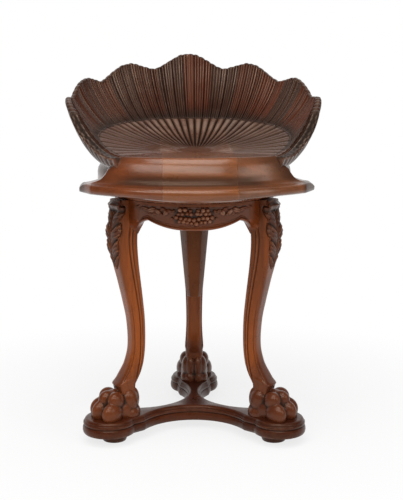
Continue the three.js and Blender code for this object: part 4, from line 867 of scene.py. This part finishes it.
def makeHousing():
    # grown upwards from a thin plate with six sides
    sizes = housingSizes
    step = sizes["tipStep"] * mm
    post = addShape(bpy.ops.mesh.primitive_cylinder_add, vertices=6, radius=sizes["tipWidth"] / 2 * mm,
                    depth=step, end_fill_type="NGON", location=(0, 0, sizes["tip"] * mm + step / 2),
                    rotation=(0, 0, math.radians(30)))
    post.name = "screwHousing"
    bpy.ops.object.transform_apply(location=True, rotation=True, scale=True)
    bpy.ops.object.mode_set(mode="EDIT")
    bpy.ops.mesh.select_mode(type="FACE")
    bpy.ops.mesh.select_all(action="DESELECT")
    bpy.ops.object.mode_set(mode="OBJECT")
    for face in post.data.polygons:
        face.select = face.normal.z > 0.9
    bpy.ops.object.mode_set(mode="EDIT")
    spread = sizes["tipSpread"]
    bpy.ops.transform.resize(value=(spread, spread, 1))
    growths = [
        ((sizes["foot"] - sizes["tip"]) * mm - step, sizes["footWidth"] / sizes["tipWidth"] / spread),
        ((sizes["top"] - sizes["foot"]) * mm, sizes["topWidth"] / sizes["footWidth"]),
    ]
    for rise, grow in growths:
        bpy.ops.mesh.extrude_region_move(TRANSFORM_OT_translate={"value": (0, 0, rise)})
        bpy.ops.transform.resize(value=(grow, grow, 1))
    bpy.ops.object.mode_set(mode="OBJECT")
    applyModifier(post, "BEVEL", width=sizes["edgeRound"] * mm, segments=3, limit_method="ANGLE",
                  angle_limit=math.radians(20))
    return post


housing = makeHousing()
finishPiece(housing, "frame", ["screw_housing"], woods["housing"], angle=35)
print("board and post done")


# Seat. Directions are degrees from the shell's back, seen from where the flutes meet.

seatSizes = {
    "bottom": 418.7, "hollowFront": 484.0, "slabTop": 462.7, "fluteOrigin": 45, "shellReach": 247,
    "shellHeight": 156, "floorRise": 43, "rimThickness": 10, "frontThickness": 18, "endAngle": 128.3,
    "fluteCount": 27, "plankHalfWidth": 57.5, "restTurn": 3, "lipHeight": 3.6, "wallTop": 0.985,
    "bowlShare": 0.26,
}
fluteAngle = seatSizes["endAngle"] / seatSizes["fluteCount"]
ribAngle = fluteAngle / 4
# lobes of the rim: where each starts and ends, its rise at both, and how much it swells between them
shellLobes = [
    (-14.5, 14.5, 0.829, 0.829, 0.171), (14.5, 40.3, 0.829, 0.695, 0.121),
    (40.3, 64.4, 0.695, 0.537, 0.108), (64.4, 87, 0.537, 0.408, 0.063),
]
rimReach = [
    [0, 1], [16.8, 0.994], [29.4, 0.978], [45.9, 0.95], [58.4, 0.918], [65.7, 0.892], [76.6, 0.846],
    [87, 0.77], [95.6, 0.712], [107.2, 0.652], [119.6, 0.62], [128.3, 0.614],
]
footReach = [
    [0, 0.68], [30, 0.676], [56, 0.68], [75, 0.664], [87, 0.634], [95.6, 0.61], [107.2, 0.588],
    [119.6, 0.586], [128.3, 0.596],
]
bowlReach = [[0, 0.728], [45, 0.665], [77, 0.575], [90, 0.57], [100, 0.59], [112, 0.612], [128.3, 0.632]]
footRise = [[0, 1], [25, 0.98], [56, 0.8], [81, 0.47], [100, 0.2], [120, 0.03], [128.3, 0]]


def shellPoints(angle, reach, height):
    turn = np.radians(angle)
    return np.column_stack([-reach * np.sin(turn), reach * np.cos(turn) - seatSizes["fluteOrigin"], height])


def rimHeightAt(angle):
    sizes = seatSizes
    away = np.abs(angle)
    lastEnd, lastRise = shellLobes[-1][1], shellLobes[-1][3]
    falling = np.clip((away - lastEnd) / (sizes["endAngle"] - lastEnd), 0, 1)
    rise = lastRise * (1 - falling) ** 2
    for start, end, startRise, endRise, swell in shellLobes:
        share = np.clip((away - start) / (end - start), 0, 1)
        height = startRise + (endRise - startRise) * share + swell * np.sin(np.pi * share) ** 1.5
        rise = np.where((away > start) & (away <= end), height, rise)
    return sizes["hollowFront"] + sizes["shellHeight"] * rise


def footAt(angle):
    away = np.abs(angle)
    reach = seatSizes["shellReach"] * readCurve(footReach, away)
    return reach, seatSizes["hollowFront"] + seatSizes["floorRise"] * readCurve(footRise, away)


def thicknessAt(angle):
    share = ramp(np.abs(angle), 70, 30)
    return seatSizes["rimThickness"] + (seatSizes["frontThickness"] - seatSizes["rimThickness"]) * share


def outsideAt(angle, share):
    sizes = seatSizes
    away = np.abs(angle)
    rim = rimHeightAt(angle)
    top = sizes["shellReach"] * readCurve(rimReach, away) + thicknessAt(angle)
    foot = sizes["shellReach"] * readCurve(bowlReach, away)
    curve = (1 - (1 - share) ** 1.5) ** (1 / 1.5)
    return foot + (top - foot) * curve, sizes["slabTop"] + (rim - sizes["slabTop"]) * share


def insideAt(angle, share):
    reach, height = footAt(angle)
    top = seatSizes["shellReach"] * readCurve(rimReach, np.abs(angle))
    curve = (1 - (1 - share) ** 1.25) ** (1 / 1.25)
    return reach + (top - reach) * curve, height + (rimHeightAt(angle) - height) * share


def fluteDistance(angle):
    # degrees to the nearest groove between two flutes
    place = angle / fluteAngle - 0.5
    return (place - np.rint(place)) * fluteAngle


def fadeEveryOther(angle, share):
    # towards the sides every second groove fades by this share
    away = np.abs(angle)
    return 1 - share * ramp(away, 34, 16) * (np.floor(away / fluteAngle) % 2)


wallRows = {"inside": 52, "rim": 10, "outside": 26, "foot": 2}
wallCarving = {
    "ribDepth": 1.15, "grooveDepth": 2.2, "swell": 0.6, "toothHeight": 1.3, "outsideDepth": 1.6,
    "leafPitch": 3.3, "leafDepth": 1.3,
}


def wallPlace(start, end, lift):
    # the wall from one direction to another, with its foot lifted off the floor or sunk in it
    carving, lip = wallCarving, seatSizes["lipHeight"]

    def placeAt(u, v):
        angle = start + (end - start) * u
        away = np.abs(angle)
        row = stepAt(v, sum(wallRows.values()))
        up, over, down, closing = bandShares(row, wallRows)
        # inside, with uneven ribs and the grooves that run on from the floor
        share = up * seatSizes["wallTop"]
        reach, z = insideAt(angle, share)
        ribPlace = angle / ribAngle
        nearest = np.rint(ribPlace)
        uneven = scatter(nearest)
        ribGap = (ribPlace - nearest + 0.2 * (uneven - 0.5)) * ribAngle
        sparse = 1 - 0.9 * ramp(away, 42, 20) * (nearest % 2)
        rib = bump(ribGap, 0.2) * (0.4 + uneven) * sparse
        groove = bump(fluteDistance(angle), 0.3) * (1 - 0.7 * ramp(share, 0, 0.8))
        groove = groove * fadeEveryOther(angle, 0.8)
        fade = ramp(share, 0, 0.05)
        sideFade = 1 - 0.75 * ramp(away, 112, 14)
        swell = carving["swell"] * np.cos(2 * np.pi * angle / fluteAngle)
        depth = fade * sideFade * (carving["ribDepth"] * rib + carving["grooveDepth"] * groove - swell)
        reach = reach + 0.82 * depth
        z = z - 0.57 * depth
        # over the rim, with a tooth to each half flute
        arc = np.pi * (1 - over)
        across = (1 - np.cos(np.pi - arc)) / 2
        toothRise = carving["toothHeight"] * (0.5 + scatter(np.floor(2 * angle / fluteAngle), 7.131))
        scallop = toothRise * np.abs(np.sin(2 * np.pi * angle / fluteAngle)) ** 0.7 - 0.9
        # the thick front edges carry overlapping leaves between a bead and a groove
        front = ramp(away, 84, 6)
        leafPlace = away / carving["leafPitch"] + 0.9 * (across - 0.62) ** 2 - 1.1 * across
        leafSaw = leafPlace - np.floor(leafPlace)
        leafBand = front * ramp(across, 0.3, 0.08) * ramp(across, 1, -0.08)
        leafVein = bump(across - 0.64, 0.05) * ramp(leafSaw, 0, 0.3)
        carve = carving["leafDepth"] * (leafSaw**0.8 - 1.1 * bump(leafSaw - 1, 0.12)) - 0.8 * leafVein
        edging = 0.9 * bump(across - 0.1, 0.07) - 2.2 * bump(across - 0.24, 0.05)
        leafage = leafBand * carve + front * edging
        rimZ = rimHeightAt(angle) + scallop * (1 - front) - lip + lip * np.sin(arc) ** 0.7
        rimZ = rimZ + leafage - 0.8 * front
        rimR = insideAt(angle, seatSizes["wallTop"])[0] + (thicknessAt(angle) + 0.6) * across
        # down the outside, with broad flutes
        drop = 1 - down * (1 - seatSizes["bowlShare"])
        outReach, outZ = outsideAt(angle, drop)
        broad = 1 - np.abs(np.cos(np.pi * angle / fluteAngle)) ** 0.7
        fluted = broad * ramp(drop, 1, -0.1)
        outReach = outReach - carving["outsideDepth"] * fluted * ramp(drop, seatSizes["bowlShare"], 0.2)
        outZ = outZ - lip * ramp(drop, 0.9, 0.1)
        # and back to the foot
        footR, footZ = footAt(angle)
        lowR, lowZ = outsideAt(angle, seatSizes["bowlShare"])
        reach = pickBand(row, wallRows, reach, rimR, outReach, lowR + (footR - lowR) * closing)
        z = pickBand(row, wallRows, z, rimZ, outZ, lowZ + (footZ - lowZ) * closing)
        z = z + lift * ((row == 0) | (down == 1))
        # patches of redder wood; the grooves and the wall's foot darkened with dirt and painted shade; pale
        # crests, rim and front-edge lines, partly wear and partly painted highlights
        tone = scatter(np.floor((angle + 200) / (2.5 * fluteAngle)))
        stain = np.clip(tone * 1.5 - 0.6, 0, 1) * ramp(share, 0, 0.3) * (row <= wallRows["inside"])
        # the last term is painted shade towards the wall's foot
        ribShadeAndDirt = np.clip(1.1 * rib + groove, 0, 1) * fade * sideFade + 0.5 * ramp(share, 0.18, -0.18)
        leafShadeAndDirt = leafBand * (0.9 + bump(leafSaw - 1, 0.2)) + front * bump(across - 0.24, 0.08)
        pale = ramp((nearest * 0.618) % 1, 0.35, 0.5)
        ribCrest = bump(np.abs(ribPlace - nearest) - 0.42, 0.09) * pale * sideFade * sparse
        ribCrest = ribCrest * (0.15 + 0.6 * ramp(share, 0.3, 0.5))
        rimWearAndHighlights = 0.3 * bump(arc - np.pi / 2, 0.4) * (1 - front)
        # the two wavy pale lines on the front edges are painted highlights
        waved = across - 0.05 * np.sin(np.radians(75 * away))
        rimWearAndHighlights = rimWearAndHighlights + front * (0.6 * bump(waved - 0.36, 0.05) + 0.4 * bump(waved - 0.84, 0.05))
        dirtAndShade = pickBand(row, wallRows, ribShadeAndDirt, leafShadeAndDirt, 0.8 * fluted, 0)
        wearAndHighlights = pickBand(row, wallRows, ribCrest, rimWearAndHighlights, 0.15 * (1 - broad), 0)
        return shellPoints(angle, reach, z), {"stain": stain, "dirtAndShade": dirtAndShade, "wearAndHighlights": wearAndHighlights}

    return placeAt


# where each stave starts and ends, in flutes from the back
staves = {
    "centre": (-3.5, 3.5), "left_back": (3.5, 9.75), "right_back": (-9.75, -3.5),
    "left_side": (9.75, 13.75), "right_side": (-13.75, -9.75), "left_front": (13.75, 23.5),
    "right_front": (-23.5, -13.75),
}
lipStart = 23.5
lipColumns = 26
staveGap = 0.03
staveLift = 0.3
columnsPerFlute = 32
for side, (start, end) in staves.items():
    first, last = start * fluteAngle + staveGap, end * fluteAngle - staveGap
    stave = gridPiece(f"shellStave_{side}", int(round((end - start) * columnsPerFlute)),
                      sum(wallRows.values()), wallPlace(first, last, staveLift), capped=True)
    turnPiece(stave, seatSizes["restTurn"])
    finishPiece(stave, "seat", [f"shell_stave_{side}"], woods["shell"], angle=60)
print("shell staves done")


# Hollow floor, slab and front rail, joined and then sawn into three planks

railSizes = {
    "reach": 207, "bow": 250, "height": 65.3, "halfWidth": 188, "depth": 38, "backDepth": 46,
    "earChamfer": 19, "endWidth": 66, "belly": 5.5, "undercut": 0.26, "columns": 220,
}
# set back and height of the moulding, as shares of the rail's depth and height
railProfile = [
    [0, 0.17], [0.015, 0.235], [0.05, 0.285], [0.1, 0.312], [0.17, 0.325], [0.3, 0.335], [0.42, 0.352],
    [0.52, 0.388], [0.585, 0.44], [0.62, 0.51], [0.645, 0.59], [0.68, 0.67], [0.735, 0.765], [0.8, 0.855],
    [0.88, 0.93], [0.95, 0.98], [1, 1],
]
# height of the rail's ends, from the tip inwards
earProfile = [
    [0, 0.2], [0.08, 0.28], [0.3, 0.355], [0.53, 0.45], [0.65, 0.585], [0.71, 0.69], [0.86, 0.8], [1, 1],
]
railRows = {"underside": 12, "moulding": 56, "back": 8}
floorRows = {"floor": 44, "ledge": 3, "bowl": 8, "skirt": 1, "underside": 1}
floorSizes = {"grooveDepth": 3.0, "swell": 0.9, "skirtRise": 22, "frontColumns": 42}


def floorAngles():
    end, count = seatSizes["endAngle"], seatSizes["fluteCount"]
    # columns stand closest at the grooves
    near = [0, 0.045, 0.1, 0.2, 0.35, 0.5, 0.65, 0.8, 0.9, 0.955]
    places = [(k + share - count - 0.5) * fluteAngle for k in range(2 * count + 1) for share in near]
    places = [-end] + [place for place in places if -end < place < end] + [end]
    return np.concatenate([places, np.linspace(end, 360 - end, floorSizes["frontColumns"])[1:]])


floorColumns = floorAngles()


def frontReach(angle):
    sizes = railSizes
    centre = sizes["bow"] - sizes["reach"] + sizes["depth"] + seatSizes["fluteOrigin"]
    along = centre * np.cos(np.radians(angle))
    return along + np.sqrt(along**2 + sizes["bow"] ** 2 - centre**2)


def floorPlace(u, v):
    sizes = seatSizes
    angle = (floorColumns[stepAt(u, len(floorColumns) - 1)] + 180) % 360 - 180
    away = np.abs(angle)
    inShell = away <= sizes["endAngle"] + 0.001
    row = stepAt(v, sum(floorRows.values()))
    share, ledge, down = bandShares(row, floorRows)[:3]
    footR, footZ = footAt(angle)
    edgeR = np.where(inShell, footR, frontReach(angle))
    edgeZ = np.where(inShell, footZ, sizes["hollowFront"])
    # flutes of the floor, with a groove between each two
    gap = np.abs(np.radians(fluteDistance(angle))) * edgeR * share
    sideways = ramp(away, 25, 50)
    faint = fadeEveryOther(angle, 0.9)
    shown = ramp(share, 0.14, 0.3) * ramp(share, 1, -0.008) * inShell
    swell = np.abs(np.cos(np.pi * angle / fluteAngle)) ** 0.8
    groove = floorSizes["grooveDepth"] * faint * bump(gap, 1.4 + 1.2 * sideways)
    depth = (groove - floorSizes["swell"] * swell) * shown
    floorZ = sizes["hollowFront"] + (edgeZ - sizes["hollowFront"]) * share**1.9 - depth
    # a ledge that the wall stands on, the bowl's outside and a flat underside
    lowR, lowZ = outsideAt(angle, sizes["bowlShare"])
    ledgeR = edgeR + (np.where(inShell, lowR, edgeR) - edgeR) * ledge
    ledgeZ = edgeZ + (np.where(inShell, lowZ, edgeZ - 4) - edgeZ) * ledge
    skirtZ = sizes["bottom"] + floorSizes["skirtRise"]
    bowlR, bowlZ = outsideAt(angle, sizes["bowlShare"] * (1 - down))
    bowlR = np.where(inShell, bowlR, edgeR)
    bowlZ = np.where(inShell, bowlZ, skirtZ + 8 + (edgeZ - 12 - skirtZ) * (1 - down))
    reach = pickBand(row, floorRows, edgeR * share, ledgeR, bowlR, bowlR, 0)
    z = pickBand(row, floorRows, floorZ, ledgeZ, bowlZ, skirtZ, skirtZ)
    onFloor = row <= floorRows["floor"]
    # dirt and painted shade in the grooves, painted shade where the floor meets the wall
    grimeAndShade = 1.2 * faint * bump(gap, 1.6 + 1.6 * sideways) * shown + 0.8 * inShell * ramp(share, 0.98, 0.015)
    # painted sheen: the flutes' crests paler on their outer part, most at the back
    crest = 0.75 * swell**3 * shown * ramp(share, 0.5, 0.35) * (1 - 0.7 * sideways)
    crest = crest * ramp(share, 0.995, -0.02)
    return shellPoints(angle, reach, z), {"dirtAndShade": grimeAndShade * onFloor, "wearAndHighlights": crest * onFloor}


# rows stand evenly along the moulding's curve
railOutline = np.array(railProfile)
railSteps = np.hypot(*(np.diff(railOutline, axis=0) * [railSizes["depth"], railSizes["height"]]).T)
railRun = np.concatenate([[0], np.cumsum(railSteps)]) / railSteps.sum()


def railPlace(u, v):
    sizes, bottom = railSizes, seatSizes["bottom"]
    x = (2 * u - 1) * sizes["halfWidth"]
    away = np.abs(x)
    bow = sizes["bow"] - np.sqrt(sizes["bow"] ** 2 - x**2)
    front = -sizes["reach"] + bow + np.maximum(0, away - (sizes["halfWidth"] - sizes["earChamfer"]))
    back = -sizes["reach"] + bow + sizes["backDepth"]
    low = bottom + sizes["belly"] * ramp(away, sizes["halfWidth"] * 0.1, sizes["halfWidth"] * 0.6)
    ear = sizes["height"] * readCurve(earProfile, (sizes["halfWidth"] - away) / sizes["endWidth"])
    row = stepAt(v, sum(railRows.values()))
    under, over, behind = bandShares(row, railRows)
    # forwards under the rail, then up its belly to the nose
    undercut = sizes["depth"] * sizes["undercut"]
    nose = bottom + sizes["height"] * railProfile[0][1]
    inwards = np.interp(under, [0, 0.4, 0.8, 1], [1, 0, -1, -2])
    bellyY = front + undercut * readCurve([[-2, 0], [-1, 0.28], [0, 1]], inwards)
    bellyZ = low + (nose - low) * readCurve([[0, 0], [1, 0.4], [2, 1]], -inwards)
    underY = np.where(inwards > 0, front + undercut + (back - front - undercut) * inwards, bellyY)
    underZ = np.where(inwards >= 0, low, bellyZ)
    setBack, rise = (readCurve(np.column_stack([railRun, values]), over) for values in railOutline.T)
    overY = front + setBack * sizes["depth"]
    overZ = bottom + np.minimum(sizes["height"] * rise, ear)
    edge = bottom + np.minimum(sizes["height"], ear)
    backY = front + sizes["depth"] + (back - front - sizes["depth"]) * np.clip(behind * 2, 0, 1)
    backZ = edge + (low - edge) * np.clip(behind * 2 - 1, 0, 1)
    y = pickBand(row, railRows, underY, overY, backY)
    z = pickBand(row, railRows, underZ, overZ, backZ)
    return np.column_stack([x, y, z]), {}


slabProfile = [
    [0, 418.7], [149, 418.7], [154, 419.6], [158, 422.4], [160.6, 427], [161.8, 433], [162, 440.7],
    [161.8, 448], [160.6, 454.4], [158, 459], [154, 461.8], [149, 462.7], [0, 462.7],
]
slab = turnedPiece("slab", slabProfile, steps=180)
rail = gridPiece("rail", railSizes["columns"], sum(railRows.values()), railPlace, capped=True)
hollow = gridPiece("hollow", len(floorColumns) - 1, sum(floorRows.values()), floorPlace)
# the wall's ends, which are carved from the side planks
lipFrom, lipTo = lipStart * fluteAngle + staveGap, seatSizes["endAngle"]
lips = [
    gridPiece("lip", lipColumns, sum(wallRows.values()),
              wallPlace(side * lipFrom, side * lipTo, -staveLift), capped=True)
    for side in (-1, 1)
]
for other in (rail, hollow, *lips):
    cutWith(slab, other, "UNION", "MANIFOLD")
print("seat body joined:", len(slab.data.vertices), "points")

plateSizes = {"hubRadius": 34.3, "armLength": 172.6, "armWidth": 26.6, "depth": 20, "level": 415}


def plateCutter():
    # room for the iron plate under the seat
    level, depth = plateSizes["level"] * mm, plateSizes["depth"] * mm
    hub = addShape(bpy.ops.mesh.primitive_cylinder_add, vertices=64, radius=plateSizes["hubRadius"] * mm,
                   depth=depth, location=(0, 0, level))
    for turn in (45, 135):
        arm = addShape(bpy.ops.mesh.primitive_cube_add, size=1, location=(0, 0, level),
                       rotation=(0, 0, math.radians(turn)),
                       scale=(plateSizes["armLength"] * mm, plateSizes["armWidth"] * mm, depth))
        bpy.ops.object.transform_apply(location=True, rotation=True, scale=True)
        cutWith(hub, arm, "UNION")
    return hub


cutWith(slab, plateCutter())
halfPlank = seatSizes["plankHalfWidth"]
sawGap = 0.12
plankCuts = {
    "left": (None, -halfPlank - sawGap), "centre": (-halfPlank + sawGap, halfPlank - sawGap),
    "right": (halfPlank + sawGap, None),
}
for side, (low, high) in plankCuts.items():
    plank = copyPiece(slab, f"seatPlank_{side}")
    selectOnly(plank)
    bpy.ops.object.mode_set(mode="EDIT")
    for place, inner in ((low, True), (high, False)):
        if place is None:
            continue
        bpy.ops.mesh.select_all(action="SELECT")
        bpy.ops.mesh.bisect(plane_co=(place * mm, 0, 0), plane_no=(1, 0, 0), use_fill=True,
                            clear_inner=inner, clear_outer=not inner)
    bpy.ops.object.mode_set(mode="OBJECT")
    turnPiece(plank, seatSizes["restTurn"])
    x, y, z = readPoints(plank).T / mm
    rise = (z - seatSizes["bottom"]) / railSizes["height"]
    # the hollow, the shell's bowl and the rail's tips are darker than the rest; a band in the rail's cove
    # is darker too, as painted shade
    sunk = ramp(y, -160, 30) * ramp(z, 440, 12)
    coveShade = ramp(rise, 0.33, 0.06) * ramp(rise, 0.64, -0.14) * ramp(y, -150, -20)
    tips = ramp(np.abs(x), 168, 10) * (rise < 0.5)
    # sitting has worn the front of the hollow back to its red
    worn = 0.95 * bump(x, 105) * bump(y + 95, 65)
    saveMask(plank, "stain", 0.85 * sunk * (1 - worn) + coveShade + tips)
    wood = woods[f"seat{side.capitalize()}"]
    finishPiece(plank, "seat", [f"seat_plank_{side}"], wood, angle=35)
bpy.data.objects.remove(slab)
print("seat planks done")


# Height screw under the seat

screwSizes = {
    "radius": 9.5, "depth": 2.0, "pitch": 8, "rootWidth": 4.2, "crestWidth": 2.6, "collarTuck": 1.4,
    "columns": 64, "rows": 400,
}
# radius and height of the collar, from the seat's underside
collarProfile = [[0, -2.1], [13.8, -2.1], [14.7, -1.9], [15, -1.4], [15, 0], [6, 0], [6, 6], [0, 6]]
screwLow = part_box("seat_screw")[0].z / mm
screwHigh = seatSizes["bottom"] - 0.3


def threadPlace(u, v):
    sizes = screwSizes
    z = screwLow + (screwHigh - sizes["collarTuck"] - screwLow) * v
    phase = (z / sizes["pitch"] - u) % 1
    away = np.minimum(phase, 1 - phase) * sizes["pitch"]
    flank = (sizes["rootWidth"] - sizes["crestWidth"]) / 2
    crest = np.clip((sizes["rootWidth"] / 2 - away) / flank, 0, 1)
    radius = sizes["radius"] - sizes["depth"] * (1 - crest * ramp(z, screwLow, 2))
    return roundPoints(2 * np.pi * u, radius, z), {}


screw = gridPiece("seatScrew", screwSizes["columns"], screwSizes["rows"], threadPlace, capped=True)
collar = turnedPiece("collar", [[radius, screwHigh + height] for radius, height in collarProfile],
                     steps=screwSizes["columns"])
screw = joinPieces(screw, collar)
turnPiece(screw, seatSizes["restTurn"])
finishPiece(screw, "seat", ["seat_screw"], metals["turnedSteel"])
print("screw done")

# CAD nodes that stay as they are get their finish
for node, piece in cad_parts.items():
    if node in ("screw_nut", "seat_plate"):
        finish = metals["castIron"]
    elif node.startswith("leg_dowel"):
        finish = woods["hidden"]
    elif "screw" in node or "bolt" in node or "washer" in node:
        finish = metals["turnedSteel"]
    else:
        continue
    piece.data.materials.clear()
    piece.data.materials.append(finish)


# Floor, light and camera

studioLook = {
    "floorSize": 30, "floorDrop": 0.0003, "floorColour": (0.9, 0.9, 0.9), "floorRoughness": 0.9,
    "floorShine": 0.1, "nearWhite": 0.78, "fadeStart": 0.25, "fadeEnd": 0.75, "backWhite": 1.0,
    "frontGloss": 0.1, "glossStart": 0.2, "glossEnd": 0.75, "ambient": 0.3,
}


def makeFloorMaterial():
    # pale floor that turns white away from the stool, and keeps its shadow near it
    look = studioLook
    material, tree, shader, place = newMaterial("paleFloor")
    feedInputs(tree, shader, {
        "Base Color": look["floorColour"] + (1,), "Roughness": look["floorRoughness"],
        "Specular IOR Level": look["floorShine"],
    })
    reach = addNode(tree, "ShaderNodeVectorMath", {0: place}, operation="LENGTH").outputs["Value"]
    fade = rangeNode(tree, reach, look["fadeStart"], look["fadeEnd"], look["nearWhite"], 1.0)
    # the white is only for what the camera sees directly, in gloss or through glass
    rays = addNode(tree, "ShaderNodeLightPath").outputs
    glossy = larger(tree, rays["Is Glossy Ray"], rays["Is Transmission Ray"])
    seen = larger(tree, rays["Is Camera Ray"], glossy)
    white = addNode(tree, "ShaderNodeEmission").outputs[0]
    share = multiply(tree, seen, fade)
    blend = addNode(tree, "ShaderNodeMixShader", {0: share, 1: shader.outputs[0], 2: white})
    feedInputs(tree, tree.nodes["Material Output"], {"Surface": blend.outputs[0]})
    return material


floor = addShape(bpy.ops.mesh.primitive_plane_add, size=studioLook["floorSize"],
                 location=(0, 0, -studioLook["floorDrop"]))
floor.name = "studioFloor"
floor.data.materials.append(makeFloorMaterial())

world = bpy.data.worlds.new("studio")
bpy.context.scene.world = world
world.use_nodes = True
tree = world.node_tree
# a white backdrop behind the stool, a dimmer room on the side it is seen from
place = addNode(tree, "ShaderNodeTexCoord").outputs["Generated"]
backwards = addNode(tree, "ShaderNodeSeparateXYZ", {0: place}).outputs["Y"]
gloss = rangeNode(tree, backwards, studioLook["glossStart"], studioLook["glossEnd"],
                  studioLook["frontGloss"], studioLook["backWhite"])
rays = addNode(tree, "ShaderNodeLightPath").outputs
glossy = multiply(tree, larger(tree, rays["Is Glossy Ray"], rays["Is Transmission Ray"]), gloss)
ambient = multiply(tree, rays["Is Diffuse Ray"], studioLook["ambient"])
strength = larger(tree, larger(tree, rays["Is Camera Ray"], glossy), ambient)
feedInputs(tree, tree.nodes["Background"], {"Color": (1, 1, 1, 1), "Strength": strength})

lampLooks = {
    "frontSoft": {"place": (-0.5, -2.3, 2.0), "aim": (0, 0, 0.35), "size": (3.4, 0.8), "power": 44},
    "topSoft": {"place": (-0.1, -1.0, 2.4), "aim": (0, 0, 0.4), "size": (1.8, 1.0), "power": 28},
    "rightFill": {"place": (2.0, -1.7, 1.3), "aim": (0, 0, 0.35), "size": (1.2, 1.2), "power": 12},
}
for name, look in lampLooks.items():
    lamp = addShape(bpy.ops.object.light_add, type="AREA", location=look["place"])
    lamp.name = name
    lamp.data.shape = "RECTANGLE"
    lamp.data.size, lamp.data.size_y = look["size"]
    lamp.data.energy = look["power"]
    x, y, z = np.array(look["aim"]) - np.array(look["place"])
    lamp.rotation_euler = (math.atan2(math.hypot(x, y), -z), 0, math.atan2(y, x) - math.pi / 2)

cameraLook = {
    "place": (0, -1.845, 0.646), "pitchDegrees": 10.3, "lens": 79.1, "sensorWidth": 36, "shiftX": 0.0147,
}
camera = addShape(bpy.ops.object.camera_add, location=cameraLook["place"],
                  rotation=(math.radians(90 - cameraLook["pitchDegrees"]), 0, 0))
camera.data.lens = cameraLook["lens"]
camera.data.sensor_width = cameraLook["sensorWidth"]
camera.data.shift_x = cameraLook["shiftX"]
bpy.context.scene.camera = camera
bpy.context.scene.view_settings.view_transform = "Standard"
print("floor, light and camera set")
